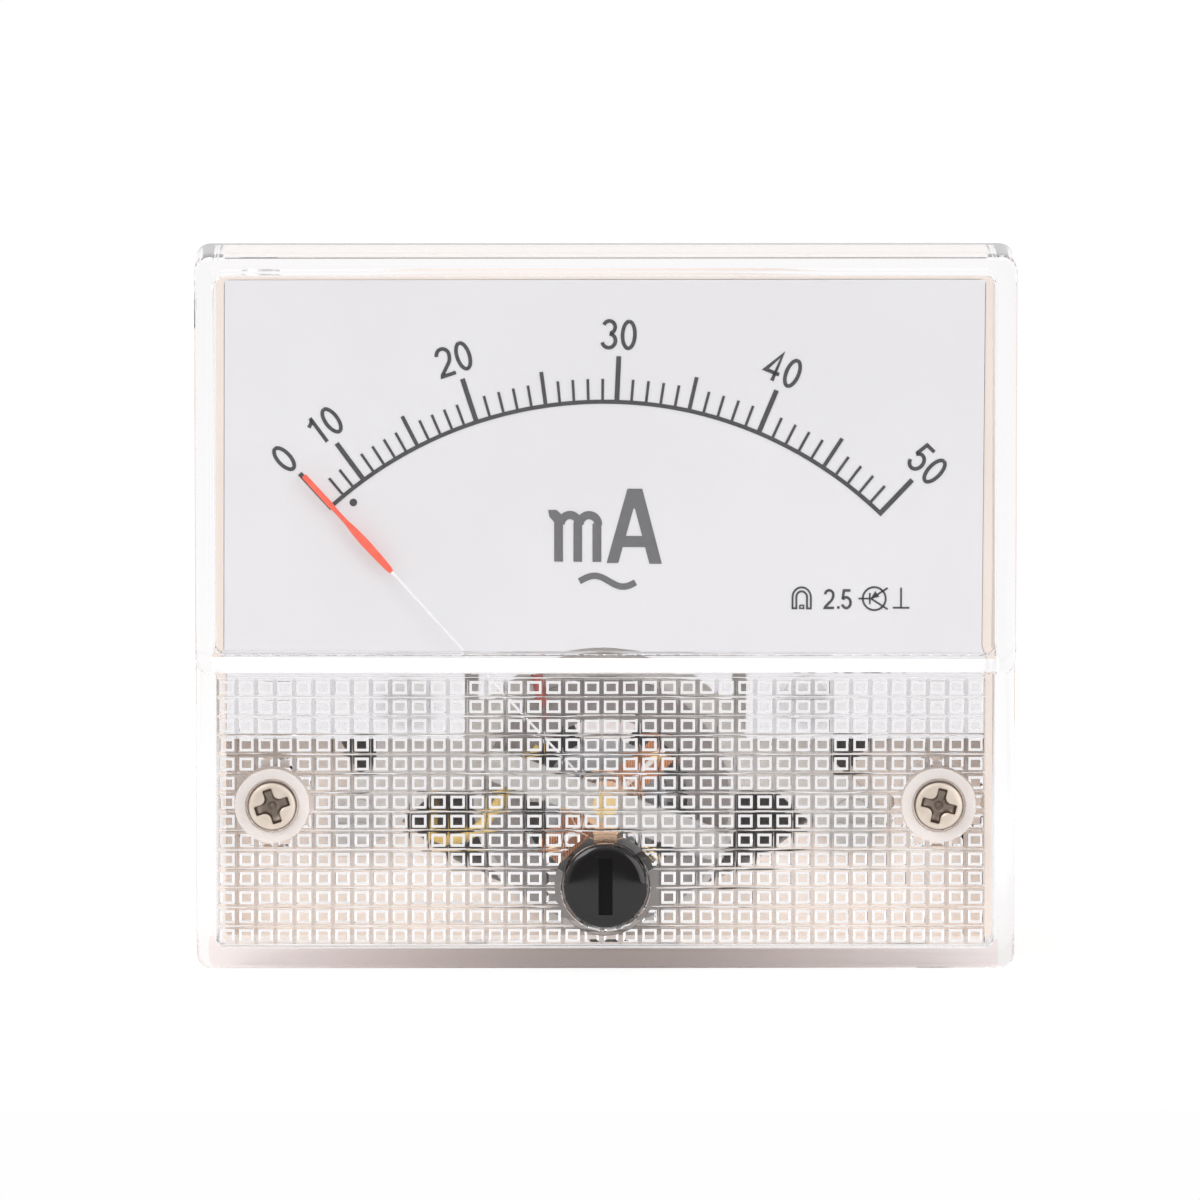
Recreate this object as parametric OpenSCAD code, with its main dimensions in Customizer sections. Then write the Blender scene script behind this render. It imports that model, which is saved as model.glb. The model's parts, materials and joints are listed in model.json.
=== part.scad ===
// Moving-coil panel milliammeter, 64 x 56 mm front.
// X runs to the right, -Y is the side that is read, +Z is up. The origin is the centre of the seating
// plane: the panel's front face lies at Y = 0 and the drum passes through it towards +Y.

/* [Cover] */
// How far the cover reaches past the drum on each side
cover_side_margin = 7; // [6:0.1:9]
// How far the cover reaches past the drum above and below
cover_end_margin = 3; // [2.6:0.1:5]
// How far the window stands in front of the panel
cover_depth = 13; // [12.6:0.1:16]
// How far the lower textured face lies behind the window
window_step = 3; // [2:0.1:3.2]
// Height of the window's lower edge above the pointer's pivot
window_rise = 10.8; // [10.4:0.1:11.2]
// How much wider each side is at the panel than at the front
cover_draft = 0.3; // [0:0.05:0.5]
// Thickness of the side walls
side_wall = 1.5; // [1:0.05:1.5]
// Thickness of the window and of the lower face
face_wall = 1.5; // [1.3:0.05:1.6]
// Thickness of the shelf under the window
shelf_wall = 1.4; // [1:0.05:1.6]
// How far the shelf's bevelled lip reaches behind the lower face
shelf_lip = 0.8; // [0.4:0.1:0.9]
// Corner radius of the cover
cover_corner = 1.2; // [0.8:0.1:2]
// Chamfer around the front edges
cover_chamfer = 0.3; // [0.1:0.05:0.5]

/* [Cover screws] */
// Distance of the cover screws from the cover's sides
screw_inset = 5.9; // [5.5:0.1:6.5]
// Height of the cover screws above the pivot
screw_rise = 0.2; // [-1:0.1:1]
// Thread diameter of the cover screws
screw_d = 2.5; // [2:0.1:3]
// Head diameter of the cover screws
screw_head_d = 3.85; // [3.6:0.05:4.4]
// Head height of the cover screws
screw_head_h = 1.2; // [0.9:0.1:1.5]
// Diameter of the smooth boss around each cover screw
screw_boss_d = 6; // [5.2:0.1:6.4]
// Depth of the recess that the head sits in
screw_recess = 0.6; // [0.3:0.1:0.9]
// Angle of the left screw's cross
screw_turn_left = 25; // [0:1:89]
// Angle of the right screw's cross
screw_turn_right = 15; // [0:1:89]

/* [Zero adjuster] */
// Distance of the adjuster's axis below the pivot
adjuster_drop = 6.2; // [5.9:0.1:6.4]
// Diameter of the adjuster's slotted head
adjuster_d = 6.6; // [6:0.1:7]
// Thickness of the adjuster's head
adjuster_head = 1.5; // [1.3:0.1:1.7]
// Diameter of the adjuster's stem
adjuster_stem_d = 3.6; // [3:0.1:4]
// Diameter of the snap collar behind the cover
adjuster_collar_d = 4.6; // [4.3:0.1:5]
// Diameter of the eccentric pin
eccentric_d = 0.9; // [0.7:0.05:1]
// Offset of the eccentric pin from the adjuster's axis
eccentric_e = 0.7; // [0.4:0.05:0.9]
// Width of the screwdriver slot
slot_w = 1.1; // [0.8:0.1:1.3]
// Length of the screwdriver slot
slot_l = 4.5; // [3.5:0.1:5]

/* [Dial] */
// Distance between the dial's sides and the cover's sides
dial_side_inset = 2.25; // [2.1:0.05:2.5]
// Distance between the dial's top edge and the cover's top
dial_top_inset = 2.2; // [2.1:0.1:3]
// Height of the dial's bottom edge above the pivot
dial_bottom_rise = 5.1; // [4.8:0.1:5.4]
// Thickness of the dial plate
dial_t = 0.5; // [0.4:0.1:0.8]
// Distance of the dial's front face from the panel
dial_y = 6.2; // [6:0.1:6.4]
// Radius of the arch that clears the movement
arch_r = 12.3; // [11:0.1:12.5]
// Radius of the scale's arc line
scale_r = 31.6; // [30:0.1:32]
// Width of the arc line
arc_w = 0.32; // [0.2:0.01:0.5]
// Width of a tick at the tens
tick_major_w = 0.38; // [0.32:0.01:0.6]
// Width of a tick at the fives
tick_middle_w = 0.3; // [0.25:0.01:0.5]
// Width of the other ticks
tick_minor_w = 0.21; // [0.15:0.01:0.35]
// Thickness of the printed marks
print_t = 0.04; // [0.03:0.01:0.06]
// Length of a tick at the tens
tick_major = 3.6; // [3:0.1:4]
// Length of a tick at the fives
tick_middle = 2.7; // [2.2:0.1:2.9]
// Length of the other ticks
tick_minor = 1.8; // [1.2:0.1:2]
// Value at the scale's right end
scale_max = 50; // [40:10:60]
// First value that has its own tick after zero
scale_first = 8; // [5:1:10]
// Angle of zero from the vertical, to the left
zero_angle = 42.6; // [40:0.1:45]
// Angle between zero and full scale
sweep_angle = 86; // [80:0.5:87]
// Share of the sweep at one fifth of full scale, small because a rectifier is weak there
share_1 = 0.071; // [0.06:0.001:0.09]
// Share of the sweep at two fifths
share_2 = 0.282; // [0.25:0.001:0.3]
// Share of the sweep at three fifths
share_3 = 0.517; // [0.48:0.001:0.55]
// Share of the sweep at four fifths
share_4 = 0.758; // [0.7:0.001:0.8]

/* [Movement] */
// Clearance between the yoke ring and the inside of the drum
yoke_gap = 0.3; // [0.1:0.05:0.5]
// Angle of the resting pointer from the vertical, just short of zero's own
rest_angle = 42.3; // [41:0.1:44]
// Length of the pointer from its pivot
needle_l = 35; // [33:0.1:36]
// Thickness of the pointer and its hub plate
needle_t = 0.2; // [0.15:0.01:0.25]
// Radius of the core magnet
core_r = 4.9; // [4.5:0.05:5]
// Inner radius of the yoke ring
yoke_inner_r = 6.5; // [6.4:0.05:6.6]
// Outer radius of the yoke ring
yoke_outer_r = 7.8; // [7.6:0.05:7.9]
// Radius of the yoke ring's front flange
flange_r = 9.8; // [9.6:0.05:10]
// Half the length of the moving coil along its axis
coil_half_l = 5.2; // [5:0.05:5.3]
// Width of the coil along the rim
coil_w = 2.4; // [2:0.1:2.5]
// Thickness of the coil former
former_t = 0.3; // [0.2:0.05:0.35]
// Thickness of the winding on the former
winding_t = 0.65; // [0.5:0.05:0.7]
// Thickness of the bridges
bridge_t = 0.5; // [0.4:0.05:0.6]
// Width of the bridges
bridge_w = 3; // [2.4:0.1:3.4]
// Turn of the front bridge about the pivot
bridge_turn = 20; // [10:1:24]
// Number of turns in each hairspring
spring_turns = 4; // [3:1:5]
// Outer radius of the hairsprings
spring_r = 3.2; // [2.8:0.1:3.4]
// Thickness of the hairspring strip
spring_t = 0.1; // [0.08:0.01:0.14]
// Height of the hairspring strip
spring_h = 0.2; // [0.15:0.01:0.22]

/* [Case] */
// Diameter of the drum that passes through the panel
drum_d = 50; // [49.6:0.1:51]
// Length of the drum behind the panel
drum_l = 26; // [24:0.5:32]
// Thickness of the drum's wall
drum_wall = 1.5; // [1.2:0.1:1.6]
// Thickness of the drum's back
drum_back = 2; // [1.5:0.1:3]
// Thickness of the case's front plate
plate_t = 2.5; // [2.3:0.1:2.6]
// Clearance between the case and the cover
case_gap = 0.12; // [0.1:0.01:0.2]
// Clearance around the dial in the case's rim
dial_gap = 0.15; // [0.1:0.01:0.2]
// Distance of the mounting studs from the cover's edges
stud_inset = 5.5; // [5.2:0.1:6]
// Diameter of the mounting studs
stud_d = 3; // [2.5:0.5:3]
// Length of the mounting studs behind the panel
stud_l = 16; // [12:1:25]

/* [Terminals] */
// Distance between the two terminals
terminal_pitch = 25; // [22:0.5:28]
// Diameter of the terminal studs
terminal_d = 4; // [3:0.5:4]
// How far the terminals reach behind the drum
terminal_l = 16; // [14:0.5:30]
// Diameter of the raised pads under the terminals
pad_d = 11; // [10:0.5:13]
// Height of the raised pads
pad_h = 0.6; // [0.3:0.1:1.2]
// Width across flats of the terminal nuts
nut_af = 7; // [6:0.5:8]
// Height of the terminal nuts
nut_h = 3.2; // [2.4:0.1:4]
// Diameter of the terminal washers
washer_d = 9; // [8:0.5:10]
// Thickness of the terminal washers
washer_t = 0.8; // [0.6:0.1:1.2]
// Thickness of the solder lugs
lug_t = 0.4; // [0.3:0.05:0.6]
// Width of the solder lugs' tails
lug_w = 2.6; // [2:0.1:3]
// Distance of the solder lugs' holes from their terminals
lug_l = 10; // [8:0.5:12]

/* [Rectifier] */
// Width of the circuit board
board_w = 36; // [32:0.5:38]
// Height of the circuit board
board_h = 16; // [14:0.5:20]
// Thickness of the circuit board
board_t = 1.4; // [1:0.1:1.6]
// Number of rectifier diodes
diodes_n = 4; // [2:1:5]
// Diameter of a diode's glass body
diode_d = 1.8; // [1.5:0.1:2]
// Length of a diode's glass body
diode_l = 4; // [3.5:0.1:4.5]
// Diameter of the leads
lead_d = 0.9; // [0.6:0.1:1.1]

/* [Hidden] */
$fn = 64;

fit = 0.05;
gap = 0.1;
chamfer = 0.4;
slot_t = 0.4;
cover_w = drum_d + 2 * cover_side_margin;
cover_h = drum_d + 2 * cover_end_margin;
drum_inner_r = drum_d / 2 - drum_wall;
pivot_z = yoke_outer_r + yoke_gap - drum_inner_r;
window_bottom_z = pivot_z + window_rise;
adjuster_z = pivot_z - adjuster_drop;
dial_w = cover_w - 2 * dial_side_inset;
dial_top_z = cover_h / 2 - dial_top_inset;
dial_bottom_z = pivot_z + dial_bottom_rise;
screw_x = cover_w / 2 - screw_inset;
screw_z = pivot_z + screw_rise;
stud_x = cover_w / 2 - stud_inset;
stud_z = cover_h / 2 - stud_inset;
stud_head_af = 4.8;
stud_head_h = 1.4;
draft_slope = cover_draft / cover_depth;
face_y = cover_depth - window_step;
window_inner_y = cover_depth - face_wall;
face_inner_y = face_y - face_wall;
window_h = cover_h / 2 - window_bottom_z;
window_cz = (cover_h / 2 + window_bottom_z) / 2;
recess_y = face_y - screw_recess;
thread_end_y = 0.4;
rim_wall = 0.55;

adjuster_seat_y = face_y + 0.2 - adjuster_head;
adjuster_boss_back_y = face_inner_y - 0.8;
adjuster_boss_r = adjuster_d / 2 + 0.7;
collar_t = 0.35;
eccentric_tip_y = 6.6;
lever_l = pivot_z - adjuster_z - eccentric_e;

carrier_t = 1;
carrier_y = plate_t + carrier_t;
flange_t = 1;
flange_y = carrier_y + flange_t;
bridge_y = 7.4;
bridge_back_y = bridge_y - bridge_t;
pillar_x = 8.8;
pillar_r = 0.9;
jewel_r = 1;
lever_t = 0.25;
lever_y = bridge_back_y - 0.02;
spring_y = 6.45;
spring_gap = 0.01;
hub_y = 6.1;
hub_r = 0.9;
spring_in_r = hub_r + spring_t + spring_gap;
needle_y = 7.3;
coil_outer_r = core_r + 0.25 + former_t + winding_t;
core_half_l = 4.2;
rear_bridge_y = 6.6;
rear_pillar_x = (yoke_inner_r + yoke_outer_r) / 2;
spacer_angle = 22;
ear_x = 19.5;
ear_z = pivot_z - 1.6;
post_x = 15.7;
post_z = pivot_z + 8.4;
post_r = 2;
small_screw_r = 1;
small_head_r = 1.7;
small_head_h = 0.9;

drum_floor_y = drum_l - drum_back;
terminal_head_h = 2.5;
board_back_y = drum_floor_y - terminal_head_h;
board_nut_h = 2.4;
board_stub_r = 1.5;
board_nut_af = 5.5;
board_front_y = board_back_y - board_t;
first_nut_y = drum_l + pad_h + washer_t;
lug_y = first_nut_y + nut_h;
outer_washer_y = lug_y + lug_t;
outer_nut_y = outer_washer_y + washer_t;
relief_w = 0.7;
relief_t = 0.3;
free_end_y = outer_nut_y + nut_h + relief_w;

// Widths of the clear cover at a distance d in front of the panel
function cover_w_at(d) = cover_w + 2 * draft_slope * (cover_depth - d);
function cover_h_at(d) = cover_h + 2 * draft_slope * (cover_depth - d);

// Angle from the vertical of a value on the rectifier scale, even within each fifth of full scale
shares = [0, share_1, share_2, share_3, share_4, 1];
function share(u) = let (k = min(max(floor(u), 1), 4)) shares[k] + (shares[k + 1] - shares[k]) * (u - k);
function scale_angle(v) = (v == 0 ? 0 : sweep_angle * share(5 * v / scale_max)) - zero_angle;

// Extrudes a front view from d_front to d_back, both distances in front of the panel
module front_view(d_front, d_back) {
  translate([0, -d_back, 0]) rotate([90, 0, 0]) linear_extrude(d_front - d_back) children();
}

// A round bar along Y between two distances in front of the panel
module rod(r, d_front, d_back, sides = 64) {
  translate([0, -d_back, 0]) rotate([90, 0, 0]) cylinder(r = r, h = d_front - d_back, $fn = sides);
}

// A round bar with a chamfered back end
module pin(r, d_front, d_back) {
  rod(r, d_front, d_back + chamfer);
  translate([0, -d_back, 0]) rotate([90, 0, 0]) cylinder(r1 = r - chamfer, r2 = r, h = chamfer);
}

module at(x, z) { translate([x, 0, z]) children(); }

module mirrored() {
  children();
  mirror([1, 0, 0]) children();
}

module rounded_rect(w, h, r) {
  hull() for (x = [-1, 1], y = [-1, 1]) translate([x * (w / 2 - r), y * (h / 2 - r)]) circle(r, $fn = 32);
}

// A block with moulding draft on its four sides
module drafted_block(w, h, d_front, d_back, r) {
  grow = 2 * draft_slope * (d_front - d_back);
  translate([0, -d_front, 0]) rotate([-90, 0, 0])
    linear_extrude(d_front - d_back, scale = [(w + grow) / w, (h + grow) / h], slices = 1) rounded_rect(w, h, r);
}

// A moulded block with a chamfer around its front face
module chamfered_block(w, h, d_front, d_back, r) {
  drafted_block(w, h, d_front - cover_chamfer, d_back, r);
  c = 2 * cover_chamfer;
  translate([0, -d_front, 0]) rotate([-90, 0, 0])
    linear_extrude(cover_chamfer, scale = [w / (w - c), h / (h - c)], slices = 1)
      rounded_rect(w - c, h - c, r - cover_chamfer);
}

// ---- Front ----

// The shelf ends behind the lower face in a bevel, which shows white because it mirrors the light above
module shelf_end() {
  inner_w = cover_w_at(face_inner_y) - 2 * side_wall + 2 * gap;
  top_z = window_bottom_z + shelf_wall - gap;
  translate([-inner_w / 2, 0, 0]) rotate([90, 0, 90]) linear_extrude(inner_w) polygon([
    [-face_inner_y - gap, window_bottom_z], [-face_inner_y, window_bottom_z],
    [shelf_lip - face_inner_y, window_bottom_z + shelf_lip], [shelf_lip - face_inner_y, top_z],
    [-face_inner_y - gap, top_z]]);
}

module front_cover() {
  color([0.93, 0.95, 0.97, 0.35]) difference() {
    union() {
      shelf_end();
      difference() {
        union() {
          chamfered_block(cover_w_at(face_y), cover_h_at(face_y), face_y, 0, cover_corner);
          at(0, window_cz) chamfered_block(cover_w, window_h, cover_depth, face_inner_y, cover_corner);
        }
        drafted_block(cover_w_at(face_inner_y) - 2 * side_wall, cover_h_at(face_inner_y) - 2 * side_wall,
          face_inner_y, -1, cover_corner);
        at(0, window_cz + (shelf_wall - side_wall) / 2)
          drafted_block(cover_w_at(window_inner_y) - 2 * side_wall, window_h - side_wall - shelf_wall,
            window_inner_y, face_inner_y - 1, cover_corner);
      }
      mirrored() at(screw_x, screw_z) rod(screw_boss_d / 2, face_inner_y + 0.1, plate_t);
      at(0, adjuster_z) rod(adjuster_boss_r, face_inner_y + 0.1, adjuster_boss_back_y);
    }
    mirrored() at(screw_x, screw_z) {
      rod(screw_d / 2 + gap, face_y + 1, plate_t - 1);
      rod(screw_head_d / 2 + gap, face_y + 1, recess_y);
    }
    at(0, adjuster_z) {
      rod(adjuster_d / 2 + gap, face_y + 1, adjuster_seat_y);
      rod(adjuster_stem_d / 2 + gap, face_y + 1, adjuster_boss_back_y - 1);
    }
  }
}

module cross_recess(turn) {
  for (a = [0, 90]) rotate([0, turn + a, 0])
    translate([-1.4, -recess_y - screw_head_h - 1, -0.375]) cube([2.8, 1.8, 0.75]);
}

module cover_screw(turn) {
  color([0.92, 0.85, 0.76]) difference() {
    union() {
      intersection() {
        rod(screw_head_d / 2, recess_y + screw_head_h, recess_y);
        translate([0, -recess_y - screw_head_h + 4.2, 0]) sphere(4.2, $fn = 96);
      }
      rod(screw_d / 2, recess_y + 0.2, thread_end_y);
    }
    cross_recess(turn);
  }
}

module cover_screw_left() { at(-screw_x, screw_z) cover_screw(screw_turn_left); }
module cover_screw_right() { at(screw_x, screw_z) cover_screw(screw_turn_right); }

module zero_adjuster() {
  front = adjuster_seat_y + adjuster_head;
  color([0.06, 0.06, 0.06]) at(0, adjuster_z) difference() {
    union() {
      rod(adjuster_d / 2, front - 0.2, adjuster_seat_y);
      rod(adjuster_d / 2 - 0.2, front, adjuster_seat_y);
      rod(adjuster_stem_d / 2, front - 1, adjuster_boss_back_y - collar_t);
      rod(adjuster_collar_d / 2, adjuster_boss_back_y - fit, adjuster_boss_back_y - collar_t);
      at(0, eccentric_e) rod(eccentric_d / 2, front - 1, eccentric_tip_y, 32);
    }
    translate([-slot_w / 2, -front - 1, -slot_l / 2]) cube([slot_w, 1.9, slot_l]);
  }
}

// ---- Dial ----

module dial_outline() {
  notch_x = 11.05;
  notch_z = pivot_z + 8.2;
  slot_top_z = pivot_z + 11.5;
  slot_x = 1.1;
  difference() {
    translate([-dial_w / 2, dial_bottom_z]) square([dial_w, dial_top_z - dial_bottom_z]);
    translate([0, pivot_z]) circle(arch_r, $fn = 96);
    translate([-notch_x, dial_bottom_z - 1]) square([2 * notch_x, notch_z - dial_bottom_z + 1]);
    for (s = [-1, 1]) {
      translate([s * (notch_x - slot_x / 2) - slot_x / 2, notch_z - 1]) square([slot_x, slot_top_z - notch_z + 1]);
      translate([s * post_x, post_z]) circle(small_screw_r + gap, $fn = 32);
    }
  }
}

module dial_plate() {
  color([0.92, 0.92, 0.93]) front_view(dial_y, dial_y - dial_t) dial_outline();
}

function tick_length(v) = v % 10 == 0 ? tick_major : v % 5 == 0 ? tick_middle : tick_minor;
function tick_width(v) = v % 10 == 0 ? tick_major_w : v % 5 == 0 ? tick_middle_w : tick_minor_w;

module tick(v) {
  rotate(-scale_angle(v)) translate([-tick_width(v) / 2, scale_r - arc_w / 2])
    square([tick_width(v), tick_length(v) + arc_w / 2]);
}

module scale_marks() {
  reach = 2 * scale_r;
  color([0.3, 0.3, 0.31]) front_view(dial_y + print_t, dial_y) translate([0, pivot_z]) {
    intersection() {
      difference() {
        circle(scale_r + arc_w / 2, $fn = 180);
        circle(scale_r - arc_w / 2, $fn = 180);
      }
      polygon([[0, 0], [reach * sin(scale_angle(0)), reach * cos(scale_angle(0))], [0, 2 * reach],
        [reach * sin(scale_angle(scale_max)), reach * cos(scale_angle(scale_max))]]);
    }
    tick(0);
    for (v = [scale_first : scale_max]) tick(v);
  }
}

// A small slotted screw with its head seated at d_seat and its end at d_end
module small_screw(d_seat, d_end) {
  difference() {
    union() {
      rod(small_head_r, d_seat + small_head_h, d_seat);
      rod(small_screw_r, d_seat + small_head_h / 2, d_end, 32);
    }
    translate([-2 * small_head_r, -d_seat - 2 * small_head_h, -slot_t / 2])
      cube([4 * small_head_r, 1.5 * small_head_h, slot_t]);
  }
}

module dial_screws() {
  color([0.8, 0.8, 0.78]) mirrored() at(post_x, post_z) small_screw(dial_y, carrier_y + 0.3);
}

module dial_posts() {
  color([0.75, 0.65, 0.4]) mirrored() at(post_x, post_z) difference() {
    rod(post_r, dial_y - dial_t, carrier_y);
    rod(small_screw_r + fit, dial_y, carrier_y - 1, 32);
  }
}

// ---- Case ----

module case_body() {
  rim_y = dial_y - gap;
  inset = side_wall + case_gap;
  inner_w = dial_w + 2 * dial_gap;
  inner_top = dial_top_z + dial_gap;
  inner_bottom = cover_h / 2 - inset - rim_wall;
  difference() {
    drafted_block(cover_w_at(rim_y) - 2 * inset, cover_h_at(rim_y) - 2 * inset, rim_y, 0, cover_corner);
    translate([-inner_w / 2, -rim_y - 1, -inner_bottom])
      cube([inner_w, rim_y + 1 - plate_t, inner_top + inner_bottom]);
  }
  pin(drum_d / 2, plate_t / 2, -drum_l);
  mirrored() at(terminal_pitch / 2, 0) rod(pad_d / 2, 1 - drum_l, -drum_l - pad_h);
}

module case() {
  color([0.93, 0.89, 0.83]) difference() {
    union() {
      case_body();
      mirrored() at(stud_x - 6.5, dial_top_z - 3) rod(post_r, dial_y - dial_t, plate_t - 0.5);
    }
    rod(drum_inner_r, plate_t + 1, -drum_floor_y, 96);
    mirrored() {
      at(screw_x, screw_z) rod(screw_d / 2, plate_t + 1, thread_end_y - 0.2);
      at(ear_x, ear_z) rod(small_screw_r, plate_t + 1, plate_t - 2, 32);
      at(terminal_pitch / 2, 0) rod(terminal_d / 2 + fit, 0, -drum_l - pad_h - 1);
    }
    both_studs() {
      rod(stud_d / 2 + chamfer, plate_t, -1);
      rod(stud_head_af / sqrt(3), plate_t + 1, plate_t - stud_head_h, 6);
    }
  }
}

module both_studs() {
  for (s = [-1, 1]) at(-s * stud_x, s * stud_z) children();
}

// Each stud has a hexagonal head and a shoulder that sit in the case plate
module mounting_studs() {
  color([0.75, 0.75, 0.76]) both_studs() {
    rod(stud_head_af / sqrt(3) - fit, plate_t, plate_t - stud_head_h, 6);
    rod(stud_d / 2 + chamfer, plate_t - 1, 0);
    pin(stud_d / 2, 1, -stud_l);
  }
}

// ---- Movement ----

module carrier_outline() {
  difference() {
    union() {
      translate([-18, pivot_z + 0.4]) square([36, 12]);
      translate([0, pivot_z]) circle(flange_r + 0.6, $fn = 96);
      for (s = [-1, 1]) hull() {
        translate([s * ear_x, ear_z]) circle(2.4, $fn = 32);
        translate([s * 14, pivot_z + 3.4]) circle(2.4, $fn = 32);
      }
    }
    translate([0, pivot_z]) circle(yoke_outer_r + gap, $fn = 96);
    for (s = [-1, 1]) {
      for (p = [[ear_x, ear_z], [post_x, post_z]]) translate([s * p[0], p[1]]) circle(small_screw_r + gap, $fn = 32);
    }
  }
}

module movement_carrier() {
  color([0.62, 0.62, 0.63]) front_view(carrier_y, plate_t) carrier_outline();
}

module carrier_screws() {
  color([0.8, 0.8, 0.78]) mirrored() at(ear_x, ear_z) small_screw(carrier_y, plate_t - 1.8);
}

module yoke_ring() {
  color([0.14, 0.12, 0.11]) at(0, pivot_z) difference() {
    union() {
      rod(flange_r, flange_y, carrier_y, 96);
      rod(yoke_outer_r, flange_y, -core_half_l, 96);
    }
    rod(yoke_inner_r, flange_y + 1, -core_half_l - 1, 96);
  }
}

module core_magnet() {
  color([0.35, 0.35, 0.37]) at(0, pivot_z) rod(core_r, core_half_l, -core_half_l);
}

// Two non-magnetic blocks hold the core in the ring, above and below the coil's path
module core_spacers() {
  reach = 2 * yoke_inner_r;
  color([0.78, 0.62, 0.35]) at(0, pivot_z) front_view(core_half_l, -core_half_l) for (s = [-1, 1])
    intersection() {
      difference() {
        circle(yoke_inner_r, $fn = 96);
        circle(core_r, $fn = 64);
      }
      polygon([[0, 0], [-reach * sin(spacer_angle), s * reach * cos(spacer_angle)],
        [reach * sin(spacer_angle), s * reach * cos(spacer_angle)]]);
    }
}

module bridge_strip(half_l, hole_r) {
  difference() {
    hull() for (s = [-1, 1]) translate([s * half_l, 0]) circle(bridge_w / 2 - 0.2, $fn = 32);
    circle(hole_r, $fn = 48);
  }
}

module front_bridge() {
  color([0.8, 0.78, 0.72]) at(0, pivot_z) rotate([0, bridge_turn, 0])
    front_view(bridge_y, bridge_back_y) bridge_strip(pillar_x, jewel_r);
}

module bridge_ends() {
  at(0, pivot_z) rotate([0, bridge_turn, 0]) mirrored() at(pillar_x, 0) children();
}

module front_pillars() {
  color([0.75, 0.65, 0.4]) bridge_ends() rod(pillar_r, bridge_back_y, flange_y, 32);
}

module bridge_screws() {
  color([0.8, 0.8, 0.78]) bridge_ends() difference() {
    rod(1.2, bridge_y + 0.45, bridge_y, 32);
    translate([-2, -bridge_y - 0.7, -0.15]) cube([4, 0.45, 0.3]);
  }
}

// A screw with a conical cup that carries the end of the spindle
module front_jewel_screw() {
  color([0.85, 0.7, 0.4]) at(0, pivot_z) difference() {
    rod(jewel_r, bridge_y + 0.4, lever_y - lever_t);
    translate([-2, -bridge_y - 0.7, -0.15]) cube([4, 0.5, 0.3]);
  }
}

module zero_lever() {
  color([0.85, 0.75, 0.5]) at(0, pivot_z) front_view(lever_y, lever_y - lever_t) difference() {
    union() {
      circle(1.9, $fn = 48);
      translate([-0.9, -lever_l - 1.1]) square([1.8, lever_l + 1.1]);
      translate([-spring_r - 0.4, -0.4]) square([spring_r + 0.4, 0.8]);
    }
    circle(jewel_r + fit, $fn = 48);
    translate([-eccentric_d / 2 - gap, -lever_l - 2]) square([eccentric_d + 2 * gap, 2.8]);
  }
}

// ---- Moving assembly, drawn with the pointer straight up and turned to zero ----

module moving() { at(0, pivot_z) rotate([0, -rest_angle, 0]) children(); }

// Radius of a hairspring at turn angle a, from the hub out
function spring_at(a) = spring_in_r + (spring_r - spring_in_r) * a / (360 * spring_turns);

module hairspring(d_front, d_back) {
  steps = 30 * spring_turns;
  front_view(d_front, d_back) polygon([
    for (i = [0 : steps]) let (a = 360 * spring_turns * i / steps, r = spring_at(a)) [r * cos(a), r * sin(a)],
    for (i = [steps : -1 : 0]) let (a = 360 * spring_turns * i / steps, r = spring_at(a) - spring_t)
      [r * cos(a), r * sin(a)]
  ]);
}

module front_hairspring() {
  color([0.8, 0.5, 0.3]) moving() hairspring(spring_y, spring_y - spring_h);
}

module needle_outline() {
  tip_w = 0.42;
  wire_w = 0.24;
  leaf_w = 0.75;
  leaf_in = 24.4;
  leaf_wide = 26.2;
  leaf_out = 29.2;
  tip_in = 31;
  polygon([for (s = [-1, 1]) each s < 0
    ? [[-wire_w / 2, 9], [-wire_w / 2, leaf_in], [-leaf_w / 2, leaf_wide], [-wire_w / 2, leaf_out],
       [-tip_w / 2, tip_in], [-tip_w / 2, needle_l]]
    : [[tip_w / 2, needle_l], [tip_w / 2, tip_in], [wire_w / 2, leaf_out], [leaf_w / 2, leaf_wide],
       [wire_w / 2, leaf_in], [wire_w / 2, 9]]]);
}

module needle() {
  root_r = 4;
  color([0.9, 0.35, 0.3]) moving() {
    front_view(needle_y, needle_y - needle_t) needle_outline();
    rotate([0, 90, 0]) linear_extrude(0.3, center = true)
      polygon([[-root_r, -hub_y], [-9.2, -needle_y], [-9.2, -needle_y + needle_t], [-root_r, -hub_y + needle_t]]);
    front_view(hub_y, hub_y - needle_t) difference() {
      union() {
        circle(1.6, $fn = 48);
        translate([-0.2, -6.4]) square([0.4, 6.4 + root_r + 0.1]);
        translate([-6.4, -0.2]) square([12.8, 0.4]);
      }
      circle(hub_r, $fn = 48);
    }
  }
}

module balance_weights() {
  color([0.85, 0.7, 0.4]) moving() for (a = [90, 180, 270]) rotate([0, a, 0])
    translate([0, -hub_y + needle_t / 2, a == 180 ? 4.6 : 5]) difference() {
      cylinder(r = 0.38, h = a == 180 ? 1.5 : 0.8, $fn = 24);
      translate([-0.2, -needle_t / 2, -1]) cube([0.4, needle_t, 4]);
    }
}

module spindle() {
  color([0.8, 0.8, 0.82]) moving() {
    rod(hub_r, spring_y, coil_half_l);
    rod(0.25, lever_y - lever_t - fit, coil_half_l, 24);
    rod(hub_r, -coil_half_l, -rear_bridge_y + 0.3);
    rod(0.25, -coil_half_l, -rear_bridge_y + fit, 24);
  }
}

module coil_loop(outer_r, outer_l, inner_r, inner_l) {
  difference() {
    cube([2 * outer_r, 2 * outer_l, coil_w], center = true);
    cube([2 * inner_r, 2 * inner_l, coil_w + 1], center = true);
  }
}

module coil_former() {
  r = core_r + 0.25;
  l = core_half_l + 0.25;
  color([0.82, 0.82, 0.83]) moving() coil_loop(r + former_t, l + former_t, r, l);
}

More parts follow.
